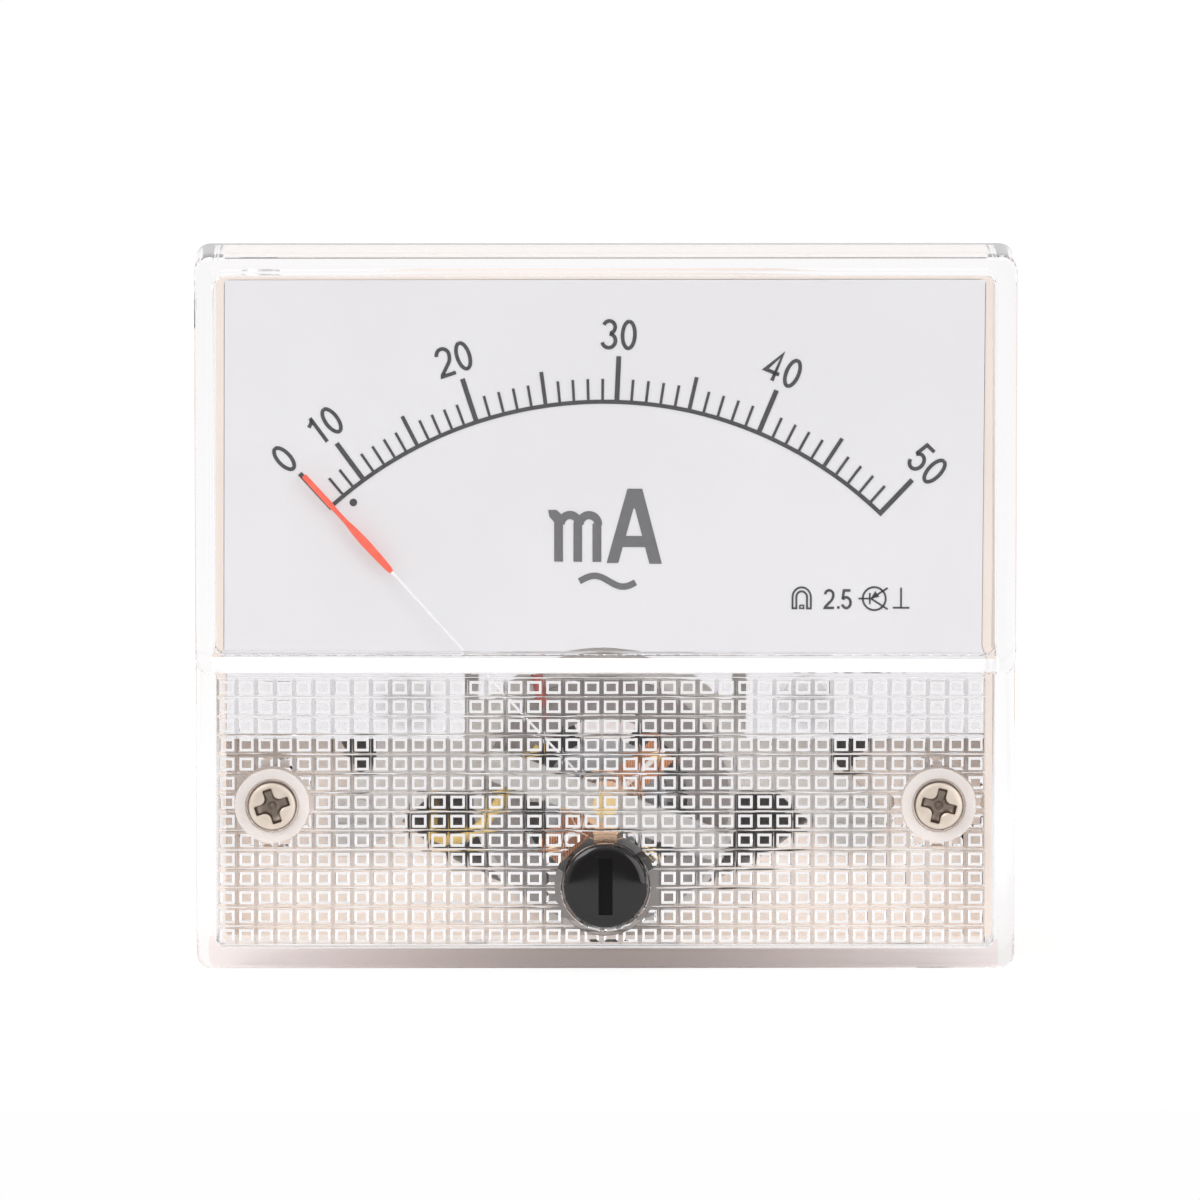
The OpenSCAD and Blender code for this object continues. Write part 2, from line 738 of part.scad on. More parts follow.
module coil_winding() {
  r = core_r + 0.25 + former_t;
  l = core_half_l + 0.25 + former_t;
  color([0.72, 0.35, 0.2]) moving() coil_loop(coil_outer_r, coil_half_l, r, l);
}

module rear_hairspring() {
  color([0.8, 0.5, 0.3]) moving() hairspring(-coil_half_l - 0.4, -coil_half_l - 0.4 - spring_h);
}

module rear_bridge() {
  color([0.8, 0.78, 0.72]) at(0, pivot_z)
    front_view(-rear_bridge_y, -rear_bridge_y - bridge_t) bridge_strip(rear_pillar_x, jewel_r);
}

module rear_pillars() {
  color([0.75, 0.65, 0.4]) mirrored() at(rear_pillar_x, pivot_z) rod(0.6, -core_half_l, -rear_bridge_y, 32);
}

module rear_bridge_screws() {
  back = rear_bridge_y + bridge_t;
  color([0.8, 0.8, 0.78]) mirrored() at(rear_pillar_x, pivot_z) difference() {
    rod(1.1, -back, -back - 0.7, 32);
    translate([-2, back + 0.4, -0.15]) cube([4, 0.5, 0.3]);
  }
}

module rear_jewel_screw() {
  back = rear_bridge_y + bridge_t;
  color([0.85, 0.7, 0.4]) at(0, pivot_z) difference() {
    rod(jewel_r, -rear_bridge_y, -back - 1);
    translate([-2, back + 0.5, -0.15]) cube([4, 1, 0.3]);
  }
}

// ---- Rectifier ----

module rectifier_board() {
  color([0.72, 0.55, 0.3]) front_view(-board_front_y, -board_back_y) difference() {
    square([board_w, board_h], center = true);
    for (s = [-1, 1]) translate([s * terminal_pitch / 2, 0]) circle(board_stub_r + fit, $fn = 32);
  }
}

module diodes() {
  pitch = 3;
  color([0.8, 0.45, 0.25]) for (i = [0 : diodes_n - 1])
    translate([(i - (diodes_n - 1) / 2) * pitch, board_front_y - diode_d / 2, 3]) {
      translate([0, 0, -diode_l / 2]) cylinder(r = diode_d / 2, h = diode_l, $fn = 32);
      translate([0, 0, -diode_l / 2 - 0.8]) cylinder(r = 0.25, h = diode_l + 1.6, $fn = 16);
      for (s = [-1, 1]) translate([-0.25, -0.25, s * (diode_l / 2 + 0.8) - 0.25]) cube([0.5, diode_d / 2 + 0.25, 0.5]);
    }
}

module series_resistor() {
  r = 1.2;
  l = 6.5;
  color([0.45, 0.6, 0.7]) translate([0, board_front_y - r, -4.5]) {
    translate([-l / 2, 0, 0]) rotate([0, 90, 0]) cylinder(r = r, h = l, $fn = 32);
    translate([-l / 2 - 1, 0, 0]) rotate([0, 90, 0]) cylinder(r = 0.3, h = l + 2, $fn = 16);
    for (s = [-1, 1]) translate([s * (l / 2 + 1) - 0.3, -0.3, -0.3]) cube([0.6, r + 0.3, 0.6]);
  }
}

// A hexagonal nut with its front at y, its corners turned off at both ends
module hex_nut(af, inner_r, y, h) {
  corner_r = af / sqrt(3);
  c = (corner_r - af / 2) / 2;
  difference() {
    intersection() {
      rod(corner_r, -y, -y - h, 6);
      translate([0, y, 0]) rotate([-90, 0, 0]) rotate_extrude($fn = 64)
        polygon([[0, 0], [af / 2, 0], [corner_r, c], [corner_r, h - c], [af / 2, h], [0, h]]);
    }
    rod(inner_r, -y + 1, -y - h - 1, 48);
  }
}

module board_nuts() {
  color([0.8, 0.8, 0.78]) mirrored() at(terminal_pitch / 2, 0)
    hex_nut(board_nut_af, board_stub_r, board_front_y - board_nut_h, board_nut_h);
}

// ---- Terminals ----

// Each stud has a thin front end for the circuit board, a hexagonal head inside the drum and a relief
// groove in front of its free end
module terminal_studs() {
  color([0.85, 0.68, 0.35]) mirrored() at(terminal_pitch / 2, 0) {
    rod(board_stub_r, chamfer + board_nut_h - board_front_y, -board_back_y - 1);
    rod((nut_af + 1) / sqrt(3), -board_back_y, -drum_floor_y, 6);
    rod(terminal_d / 2, -drum_floor_y + 1, relief_w - free_end_y);
    rod(terminal_d / 2 - relief_t, -outer_nut_y, -free_end_y - 1);
    pin(terminal_d / 2, -free_end_y, -drum_l - terminal_l);
  }
}

module washer_at(y) {
  front_view(-y, -y - washer_t) difference() {
    circle(washer_d / 2, $fn = 64);
    circle(terminal_d / 2 + gap, $fn = 48);
  }
}

module terminal_washers() {
  color([0.85, 0.72, 0.45]) mirrored() at(terminal_pitch / 2, 0) washer_at(drum_l + pad_h);
}

module terminal_nuts() {
  color([0.85, 0.68, 0.35]) mirrored() at(terminal_pitch / 2, 0) hex_nut(nut_af, terminal_d / 2, first_nut_y, nut_h);
}

module solder_lugs() {
  color([0.8, 0.8, 0.82]) mirrored() at(terminal_pitch / 2, 0) front_view(-lug_y, -lug_y - lug_t) difference() {
    union() {
      circle(washer_d / 2 - chamfer, $fn = 48);
      translate([-lug_w / 2, 0]) square([lug_w, lug_l]);
      translate([0, lug_l]) circle(lug_w / 2, $fn = 32);
    }
    circle(terminal_d / 2 + gap, $fn = 48);
    translate([0, lug_l]) circle(lug_w / 4, $fn = 24);
  }
}

module outer_washers() {
  color([0.85, 0.72, 0.45]) mirrored() at(terminal_pitch / 2, 0) washer_at(outer_washer_y);
}

module outer_nuts() {
  color([0.85, 0.68, 0.35]) mirrored() at(terminal_pitch / 2, 0) hex_nut(nut_af, terminal_d / 2, outer_nut_y, nut_h);
}

// ---- Leads ----

// A tube with eight sides swept along hand-chosen points
function along(p, i) = let (a = p[max(i - 1, 0)], b = p[min(i + 1, len(p) - 1)], d = b - a) d / norm(d);

module lead(points, r) {
  n = len(points);
  sides = 8;
  rings = [for (i = [0 : n - 1]) let (t = along(points, i),
    u0 = cross(t, abs(t[1]) < 0.8 ? [0, 1, 0] : [1, 0, 0]), u = u0 / norm(u0), v = cross(t, u))
    each [for (k = [0 : sides - 1]) points[i] + r * (cos(360 * k / sides) * u + sin(360 * k / sides) * v)]];
  faces = concat(
    [[for (k = [0 : sides - 1]) k]],
    [for (i = [0 : n - 2], k = [0 : sides - 1]) let (a = i * sides + k, b = i * sides + (k + 1) % sides)
      each [[a, a + sides, b], [b, a + sides, b + sides]]],
    [[for (k = [sides - 1 : -1 : 0]) (n - 1) * sides + k]]);
  polyhedron(points = rings, faces = faces, convexity = 6);
}

module lead_yellow() {
  color([0.92, 0.75, 0.2]) lead([
    [-5.3, -5, pivot_z + 4.4], [-7.4, -5, pivot_z + 1.5], [-9.5, -5.2, pivot_z - 1.6],
    [-11.6, -5, pivot_z - 2.9], [-13.4, -3.6, pivot_z - 2.8], [-13.6, -1, pivot_z - 1.6],
    [-13, 4, pivot_z + 1.4], [-10.5, 9, pivot_z + 4.9], [-7.6, 13, -8], [-5.6, 17, -7],
    [-5.4, board_front_y - 1, -6.8], [-5.4, board_front_y, -6.8]
  ], lead_d / 2);
}

module lead_red() {
  color([0.8, 0.2, 0.2]) lead([
    [-4.6, -5, pivot_z + 7], [-5, -5, pivot_z + 8.4], [-5.6, -5, pivot_z + 10.8],
    [-6, -4.9, pivot_z + 12.8], [-6.2, -3.6, pivot_z + 14.4], [-6.4, -1, pivot_z + 15.4],
    [-7, 4, 1], [-8, 9, 0], [-8.8, 13, -3], [-9.2, 17, -5.6],
    [-9.2, board_front_y - 1, -6.2], [-9.2, board_front_y, -6.2]
  ], lead_d / 2);
}

front_cover();
cover_screw_left();
cover_screw_right();
zero_adjuster();
case();
dial_plate();
scale_marks();
dial_screws();
dial_posts();
movement_carrier();
carrier_screws();
yoke_ring();
core_magnet();
core_spacers();
front_bridge();
front_pillars();
bridge_screws();
front_jewel_screw();
zero_lever();
front_hairspring();
needle();
balance_weights();
spindle();
coil_former();
coil_winding();
rear_hairspring();
rear_bridge();
rear_pillars();
rear_bridge_screws();
rear_jewel_screw();
rectifier_board();
diodes();
series_resistor();
board_nuts();
terminal_studs();
terminal_washers();
terminal_nuts();
solder_lugs();
outer_washers();
outer_nuts();
mounting_studs();
lead_yellow();
lead_red();
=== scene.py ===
import bpy
import bmesh
import json
import math
import random
from mathutils import Matrix, Vector


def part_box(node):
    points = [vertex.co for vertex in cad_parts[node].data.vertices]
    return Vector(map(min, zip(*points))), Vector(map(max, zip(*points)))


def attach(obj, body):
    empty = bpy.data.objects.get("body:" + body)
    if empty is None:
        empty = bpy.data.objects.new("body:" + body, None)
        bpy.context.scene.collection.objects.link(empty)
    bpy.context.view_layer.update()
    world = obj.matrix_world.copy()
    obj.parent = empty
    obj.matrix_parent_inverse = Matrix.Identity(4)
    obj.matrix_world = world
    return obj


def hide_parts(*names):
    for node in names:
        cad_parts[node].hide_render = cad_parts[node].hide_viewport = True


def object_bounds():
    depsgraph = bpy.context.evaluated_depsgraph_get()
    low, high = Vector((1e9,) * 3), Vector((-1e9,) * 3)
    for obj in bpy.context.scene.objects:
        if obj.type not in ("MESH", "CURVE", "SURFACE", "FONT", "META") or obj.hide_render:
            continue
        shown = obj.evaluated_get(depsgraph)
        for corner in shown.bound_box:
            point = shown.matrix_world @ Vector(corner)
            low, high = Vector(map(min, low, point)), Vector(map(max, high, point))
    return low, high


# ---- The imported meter, and the reader's view of it ----
# A moving-coil milliammeter for a panel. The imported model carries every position: lengths here are
# in millimetres, X to the right of the dial, -Y towards the reader, +Z up, and the panel at Y = 0.
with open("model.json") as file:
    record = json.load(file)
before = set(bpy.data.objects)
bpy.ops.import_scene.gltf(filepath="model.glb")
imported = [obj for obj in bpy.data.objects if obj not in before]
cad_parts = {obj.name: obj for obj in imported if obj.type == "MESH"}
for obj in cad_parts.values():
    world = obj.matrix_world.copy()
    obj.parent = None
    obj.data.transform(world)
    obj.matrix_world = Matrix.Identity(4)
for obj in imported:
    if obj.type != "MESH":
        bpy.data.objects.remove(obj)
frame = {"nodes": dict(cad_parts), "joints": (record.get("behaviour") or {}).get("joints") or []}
cad_low, cad_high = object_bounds()
MM = 0.001


def box_mm(node):
    low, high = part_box(node)
    return low / MM, high / MM


joint_at = {j["name"]: Vector(j["pos_m"]) / MM for j in frame["joints"]}
pivot = joint_at["needle_swing"]
aim = Vector((-0.43, -9, 0.88))
view_azimuth, view_elevation, view_distance = math.radians(-0.35), math.radians(5.45), 800
to_reader = Vector((math.sin(view_azimuth) * math.cos(view_elevation),
                    -math.cos(view_azimuth) * math.cos(view_elevation), math.sin(view_elevation)))
camera = bpy.data.objects.new("reader", bpy.data.cameras.new("reader"))
camera.data.lens, camera.data.sensor_width = 306.7, 36
camera.data.clip_start, camera.data.clip_end = 0.05, 30
camera.location = (aim + to_reader * view_distance) * MM
camera.rotation_euler = to_reader.to_track_quat("Z", "Y").to_euler()
bpy.context.scene.collection.objects.link(camera)
bpy.context.scene.camera = camera
bpy.context.scene.view_settings.view_transform = "Standard"


# ---- Studio ----
# A small white table under the meter, a white room all round it that is dark behind the reader,
# and two soft lamps in front. The table looks white to the eye and still carries a faint shadow; seen
# through the plastic it is a little duller, and the room's ceiling a little brighter.
class Value:
    """One output of a shader node. Arithmetic on it adds Math nodes."""

    def __init__(self, finish, socket):
        self.finish, self.socket = finish, socket

    def math(self, operation, a, b):
        return self.finish.node("Math", {"operation": operation}, {0: a, 1: b})

    def __add__(self, other):
        return self.math("ADD", self, other)

    def __sub__(self, other):
        return self.math("SUBTRACT", self, other)

    def __rsub__(self, other):
        return self.math("SUBTRACT", other, self)

    def __mul__(self, other):
        return self.math("MULTIPLY", self, other)

    def __truediv__(self, other):
        return self.math("DIVIDE", self, other)

    def __pow__(self, other):
        return self.math("POWER", self, other)

    __radd__, __rmul__ = __add__, __mul__

    def above(self, edge, softness):
        """0 below the edge and 1 above it, over a soft step."""
        return self.finish.node("MapRange", {"interpolation_type": "SMOOTHSTEP"},
                                {0: self, 1: edge - softness, 2: edge + softness})

    def high(self, other):
        return self.math("MAXIMUM", self, other)


class Finish:
    """A material, or the room, written as expressions on the sockets of its nodes."""

    def __init__(self, name, owner=None):
        self.owner = owner or bpy.data.materials.new(name)
        self.owner.use_nodes = True
        self.tree = self.owner.node_tree
        self.tree.nodes.clear()

    def node(self, kind, settings=None, inputs=None, output=0):
        made = self.tree.nodes.new("ShaderNode" + kind)
        for name, value in (settings or {}).items():
            setattr(made, name, value)
        for name, value in (inputs or {}).items():
            socket = made.inputs[name]
            if isinstance(value, Value):
                self.tree.links.new(value.socket, socket)
            elif isinstance(value, tuple) and len(value) == 3 and socket.type == "RGBA":
                socket.default_value = (*value, 1)
            else:
                socket.default_value = value
        return Value(self, made.outputs[output])

    def place(self):
        return self.node("TexCoord", output="Object")

    def noise(self, size, detail=2.0, roughness=0.5, stretch=None):
        """Cloudy variation, with patches of about this size in millimetres."""
        where = self.place()
        if stretch:
            where = self.node("Mapping", {}, {"Vector": where, "Scale": stretch})
        return self.node("TexNoise", {}, {"Vector": where, "Scale": 1000 / size, "Detail": detail,
                                          "Roughness": roughness})

    def axis(self, name, of=None):
        return self.node("SeparateXYZ", {}, {0: of or self.place()}, name)

    def blend(self, factor, colour_a, colour_b):
        return self.node("Mix", {"data_type": "RGBA"}, {0: factor, 6: colour_a, 7: colour_b}, 2)

    def bump(self, height, depth):
        """Relief of this depth in millimetres where the height goes from 0 to 1."""
        return self.node("Bump", {}, {"Height": height, "Distance": depth * MM})

    def worn(self):
        """1 on outer edges and 0 on open faces."""
        return self.node("NewGeometry", output="Pointiness").above(0.54, 0.05)

    def end(self, shader):
        world = isinstance(self.owner, bpy.types.World)
        end = self.tree.nodes.new("ShaderNodeOutputWorld" if world else "ShaderNodeOutputMaterial")
        self.tree.links.new(shader.socket, end.inputs["Surface"])
        return self.owner

    def solid(self, **inputs):
        names = {k: k.replace("_", " ") for k in inputs}
        return self.end(self.node("BsdfPrincipled", {}, {names[k]: v for k, v in inputs.items()}))


def seen(finish):
    """1 where the eye looks straight at a thing, or sees it in metal or through clear plastic."""
    rays = [finish.node("LightPath", output=o) for o in
            ("Is Camera Ray", "Is Glossy Ray", "Is Transmission Ray")]
    return rays[0].high(rays[1]).high(rays[2])


room = bpy.data.worlds.new("room")
bpy.context.scene.world = room
walls = Finish("room", room)
facing, upward = (walls.axis(name, walls.node("TexCoord", output="Generated")) for name in "YZ")
daylight = facing.above(-0.8, 0.16) * 0.78 + 0.22
through = walls.node("LightPath", output="Is Transmission Ray") * (upward.above(0.88, 0.08) * 0.3 + 0.94)
direct = walls.node("LightPath", output="Is Camera Ray").high(through)
walls.end(walls.node("Background", {}, {"Color": (1.0, 0.99, 0.99), "Strength": direct.high(daylight)}))

table_mesh = bpy.data.meshes.new("table")
table_front, table_side, table_top = -0.085, 4.0, cad_low.z - 0.05 * MM
table_mesh.from_pydata([(x, y, table_top) for x, y in
                        ((-table_side, table_front), (table_side, table_front),
                         (table_side, table_side), (-table_side, table_side))], [], [(0, 1, 2, 3)])
table = bpy.data.objects.new("table", table_mesh)
bpy.context.scene.collection.objects.link(table)
white = Finish("table")
plain = white.node("BsdfDiffuse", {}, {"Color": (0.9, 0.9, 0.9)})
glow = white.node("Emission", {}, {"Color": (1, 1, 1), "Strength": 1.08})
share = seen(white) * 0.72 - white.node("LightPath", output="Is Transmission Ray") * 0.36
table_mesh.materials.append(white.end(white.node("MixShader", {}, {0: share, 1: plain, 2: glow})))

for name, spot, size, power in (("key", (-420, -520, 560), 420, 2.55),
                                ("fill", (560, -640, 180), 520, 1.5)):
    lamp = bpy.data.objects.new(name, bpy.data.lights.new(name, "AREA"))
    lamp.data.size, lamp.data.energy = size * MM, power
    lamp.location = Vector(spot) * MM
    lamp.rotation_euler = Vector(spot).to_track_quat("Z", "Y").to_euler()
    bpy.context.scene.collection.objects.link(lamp)


# ---- Case ----
# One cream moulding: a shallow tray that sits against the panel, with a rim that the clear cover
# slips over, and a round drum that goes through the panel and carries the terminals on its back.
def closed_mesh(points, faces):
    """A closed solid from its points and faces, with every face turned outwards."""
    mesh = bpy.data.meshes.new("shape")
    mesh.from_pydata([tuple(p) for p in points], [], faces)
    tidy = bmesh.new()
    tidy.from_mesh(mesh)
    bmesh.ops.recalc_face_normals(tidy, faces=tidy.faces)
    tidy.to_mesh(mesh)
    tidy.free()
    return mesh


def lofted(rings):
    """A closed solid through rings of equally many points, capped at both ends."""
    n = len(rings[0])
    faces = [(i * n + k, i * n + (k + 1) % n, (i + 1) * n + (k + 1) % n, (i + 1) * n + k)
             for i in range(len(rings) - 1) for k in range(n)]
    faces += [tuple(reversed(range(n))), tuple(range((len(rings) - 1) * n, len(rings) * n))]
    return closed_mesh([p for ring in rings for p in ring], faces)


def rounded_box(levels, steps=6):
    """Levels of (y, width, height, corner radius, centre z) joined into one block."""
    rings = []
    for y, width, height, radius, z in levels:
        ring = []
        for quarter, (sx, sz) in enumerate(((1, 1), (-1, 1), (-1, -1), (1, -1))):
            for i in range(steps + 1):
                a = math.pi / 2 * (quarter + i / steps)
                ring.append((sx * (width / 2 - radius) + radius * math.cos(a), y,
                             z + sz * (height / 2 - radius) + radius * math.sin(a)))
        rings.append(ring)
    return lofted(rings)


def turned(profile, x=0.0, z=0.0, sides=64):
    """A solid of revolution about a line along Y, through (radius, y) from one end to the other."""
    return lofted([[(x + r * math.cos(2 * math.pi * k / sides), y, z + r * math.sin(2 * math.pi * k / sides))
                    for k in range(sides)] for r, y in profile])


def prism(outline, y_front, y_back, x=0.0, z=0.0, turn=0.0):
    """A flat outline of (x, z) points given a thickness, turned clockwise by an angle in degrees."""
    s, c = math.sin(math.radians(turn)), math.cos(math.radians(turn))
    flat = [(x + c * u + s * v, z - s * u + c * v) for u, v in outline]
    return lofted([[(u, y, v) for u, v in flat] for y in (y_front, y_back)])


def boxed(x0, x1, y0, y1, z0, z1):
    return prism([(x0, z0), (x1, z0), (x1, z1), (x0, z1)], y0, y1)


def worked(mesh, operation, *tools):
    """The mesh after each tool has been joined to it, cut from it or kept in common with it."""
    base = bpy.data.objects.new("work", mesh)
    bpy.context.scene.collection.objects.link(base)
    helpers = []
    for tool in tools:
        other = bpy.data.objects.new("tool", tool)
        bpy.context.scene.collection.objects.link(other)
        step = base.modifiers.new("step", "BOOLEAN")
        step.operation, step.object, step.solver = operation, other, "EXACT"
        helpers.append(other)
    bpy.context.view_layer.update()
    made = bpy.data.meshes.new_from_object(base.evaluated_get(bpy.context.evaluated_depsgraph_get()))
    for thing in [base, *helpers]:
        bpy.data.objects.remove(thing)
    return made


def merged(*meshes):
    """Several solids kept side by side in one mesh."""
    whole = bmesh.new()
    for mesh in meshes:
        whole.from_mesh(mesh)
    out = bpy.data.meshes.new("shape")
    whole.to_mesh(out)
    whole.free()
    return out


def piece(name, mesh, material, body, slot, *nodes, crease=32, bevel=0.0):
    """Puts a finished piece into the meter: it rides on a body and stands for its CAD nodes."""
    mesh.transform(Matrix.Scale(MM, 4))
    mesh.name = name
    mesh.materials.clear()
    mesh.materials.append(material)
    made = bpy.data.objects.new(name, mesh)
    bpy.context.scene.collection.objects.link(made)
    if bevel:
        edge = made.modifiers.new("edge", "BEVEL")
        edge.width, edge.segments = bevel * MM, 2
        edge.limit_method, edge.angle_limit = "ANGLE", math.radians(40)
        edge.use_clamp_overlap, edge.harden_normals = True, False
    mesh.shade_smooth()
    mesh.set_sharp_from_angle(angle=math.radians(crease))
    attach(made, body)
    if nodes:
        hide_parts(*nodes)
    return made


def moulded(name, colour, grain=0.35, relief=0.004, shine=0.42):
    """Opaque moulded plastic: faint clouds in the colour and a fine spark-eroded grain."""
    f = Finish(name)
    clouds, fine = f.noise(9, 3), f.noise(grain, 4, 0.65)
    tone = f.blend(clouds.above(0.5, 0.25), tuple(c * 0.965 for c in colour), colour)
    return f.solid(Base_Color=tone, Roughness=fine * 0.12 + (shine - 0.06),
                   Normal=f.bump(fine + clouds * 0.3, relief), Specular_IOR_Level=0.45)


cream = moulded("cream_moulding", (0.89, 0.79, 0.71))
case_low, case_high = box_mm("case")
stud_end = box_mm("mounting_studs")[1].y
cover_low, cover_high = box_mm("front_cover")
dial_low, dial_high = box_mm("dial_plate")
dial_back = dial_high.y
tray_w, tray_h = case_high.x - case_low.x, case_high.z - case_low.z
rim_y, floor_y = case_low.y, box_mm("movement_carrier")[1].y
slim = 0.046 * -rim_y  # how much narrower the drafted rim is than the tray's foot
drum_r, drum_wall, drum_back = 25.0, 1.5, case_high.y - 0.6
pad_r = 5.5
terminal_x = 12.5
tray = rounded_box([(rim_y, tray_w - slim - 0.5, tray_h - slim - 0.5, 0.95, 0),
                    (rim_y + 0.07, tray_w - slim - 0.15, tray_h - slim - 0.15, 1.1, 0),
                    (rim_y + 0.25, tray_w - slim, tray_h - slim, 1.2, 0),
                    (-0.2, tray_w, tray_h, 1.2, 0), (0, tray_w - 0.3, tray_h - 0.3, 1.05, 0)])
drum = turned([(drum_r, floor_y / 2), (drum_r, 1.2), (drum_r, drum_back - 0.8),
               (drum_r - 0.1, drum_back - 0.4), (drum_r - 0.4, drum_back - 0.1),
               (drum_r - 0.8, drum_back), (drum_r - 3.2, drum_back),
               (drum_r - 3.5, drum_back - 0.35), (drum_r - 4.3, drum_back - 0.35), (drum_r - 4.6, drum_back),
               (0.001, drum_back)], sides=128)
pads = [turned([(pad_r + 0.25, drum_back - 1), (pad_r + 0.2, drum_back), (pad_r, drum_back + 0.45),
                (pad_r - 0.15, drum_back + 0.6), (0.001, drum_back + 0.6)], s * terminal_x) for s in (-1, 1)]
rest_x, rest_z = 20, dial_high.z - 3
rests = [turned([(2.05, floor_y + 0.5), (2, dial_back + 0.1), (1.9, dial_back)], s * rest_x, rest_z, 32)
         for s in (-1, 1)]
body = worked(tray, "UNION", drum, *pads)
room_w, room_top, room_bottom = 2 * dial_high.x + 0.08, dial_high.z + 0.04, -25.83
room_h, room_mid = room_top - room_bottom, (room_top + room_bottom) / 2
hollow = rounded_box([(rim_y - 1, room_w, room_h, 0.4, room_mid),
                      (floor_y - 0.25, room_w, room_h, 0.4, room_mid),
                      (floor_y, room_w - 0.4, room_h - 0.4, 0.3, room_mid)])
bore = turned([(drum_r - drum_wall, floor_y - 1), (drum_r - drum_wall, drum_back - 2.4),
               (drum_r - drum_wall - 0.4, drum_back - 2), (0.001, drum_back - 2)], sides=96)
screw_mid = [(box_mm(n)[0] + box_mm(n)[1]) / 2 for n in ("cover_screw_left", "cover_screw_right")]
holes = [turned([(1.25, floor_y - 1), (1.25, -0.2)], m.x, m.z, 32) for m in screw_mid]
holes += [turned([(2.06, 20), (2.06, 30)], s * terminal_x, 0, 32) for s in (-1, 1)]
stud_mid = [(-26.5, 22.5), (26.5, -22.5)]
holes += [turned([(1.92, floor_y + 0.3), (1.92, 1)], x, z, 32) for x, z in stud_mid]
holes += [turned([(2.79, floor_y + 0.15), (2.79, floor_y + 1.4)], x, z, 6) for x, z in stud_mid]
mould_marks = [turned([(1.6, -0.1), (1.6, 0.5)], x, z, 32)
               for x, z in ((-27, -8), (27, 8), (-27, 12), (27, -12))]
mould_marks += [turned([(2.2, drum_back - 0.12), (2.2, drum_back + 1)], 0, z, 32) for z in (17, -17)]
body = worked(body, "DIFFERENCE", hollow, bore, *holes, *mould_marks)
body = worked(body, "UNION", *rests)
piece("case_moulding", body, cream, "meter", "cream_plastic", "case", crease=30)


# ---- Mounting studs ----
# Two zinc-plated steel studs pressed into the tray at opposite corners, threaded for the nuts that
# pull the meter against its panel.
def threaded(radius, pitch, y0, y1, x, z, depth=0.61, sides=36, tip=0.5):
    """A threaded bar with a chamfered tip at y1."""
    rings, step = [], pitch / 8
    count = int((y1 - y0) / step)
    for i in range(count + 1):
        y = y0 + (y1 - y0) * i / count
        ring = []
        for k in range(sides):
            phase = (y / pitch + k / sides) % 1
            flank = min(1, max(0, abs(2 * phase - 1) * 1.35 - 0.12))
            r = radius - depth * pitch * flank
            r = min(r, radius - tip + (y1 - y)) if tip else r
            a = 2 * math.pi * k / sides
            ring.append((x + r * math.cos(a), y, z + r * math.sin(a)))
        rings.append(ring)
    return lofted(rings)


def plated(name, colour, dull=0.32, scuff=0.08, relief=0.0015):
    """Plated metal: slightly uneven colour and gloss, fine scuffs and brighter edges."""
    f = Finish(name)
    clouds, marks = f.noise(2.6, 3), f.noise(0.25, 5, 0.7, (1, 0.12, 1))
    tone = f.blend(clouds.above(0.5, 0.3), tuple(c * 0.86 for c in colour), colour)
    bright = tuple(min(1, c * 1.12) for c in colour)
    return f.solid(Base_Color=f.blend(f.worn() * 0.7, tone, bright), Metallic=1.0,
                   Roughness=clouds * scuff + marks * scuff + (dull - scuff), Normal=f.bump(marks, relief))


zinc = plated("zinc_plate", (0.66, 0.66, 0.65), 0.34)
piece("panel_studs", merged(*[m for x, z in stud_mid for m in (
    threaded(1.5, 0.5, 0.9, stud_end, x, z, tip=0.4),
    turned([(1.9, -1.2), (1.9, -0.1), (1.8, 0), (1.5, 0.02), (1.5, 0.95), (0.001, 0.96)], x, z, 36),
    turned([(2.6, floor_y + 0.17), (2.72, floor_y + 0.27), (2.72, floor_y + 1.4)], x, z, 6))]),
    zinc, "meter", "zinc_steel", "mounting_studs", crease=40)


# ---- Terminals ----
# Two brass studs come through raised pads on the drum's back. Each has a washer and nut that clamp
# it, a tinned solder lug, and an outer washer and nut for the owner's wires.
brass = plated("brass", (0.80, 0.60, 0.30), 0.28)
pale_brass = plated("nickelled_brass", (0.83, 0.77, 0.62), 0.26)
term_low, term_high = box_mm("terminal_studs")
nut_low, nut_high = box_mm("terminal_nuts")
outer_low, outer_high = box_mm("outer_nuts")


def nut(across_flats, y0, y1, x, z, bore_r, turn=0.0):
    """A hexagonal nut, its corners turned off at both ends and its hole countersunk."""
    corner = across_flats / math.sqrt(3)
    off = (corner - across_flats / 2) * 0.6
    hexagon = [(corner * math.sin(math.radians(60 * i)), corner * math.cos(math.radians(60 * i)))
               for i in range(6)]
    end_r = across_flats / 2 - 0.1
    barrel = turned([(end_r, y0), (corner, y0 + off), (corner, y1 - off), (end_r, y1)], x, z, 72)
    blank = worked(prism(hexagon, y0, y1, x, z, turn), "INTERSECT", barrel)
    return worked(blank, "DIFFERENCE", turned([(bore_r + 0.4, y0 - 0.01), (bore_r, y0 + 0.4),
                                               (bore_r, y1 - 0.4), (bore_r + 0.4, y1 + 0.01)], x, z, 40))


def ring_washer(outer_r, inner_r, y0, y1, x, z, edge=0.12):
    """A flat washer with rounded outer edges."""
    solid = turned([(outer_r - edge, y0), (outer_r, y0 + edge), (outer_r, y1 - edge), (outer_r - edge, y1)],
                   x, z, 64)
    return worked(solid, "DIFFERENCE", turned([(inner_r, y0 - 1), (inner_r, y1 + 1)], x, z, 40))


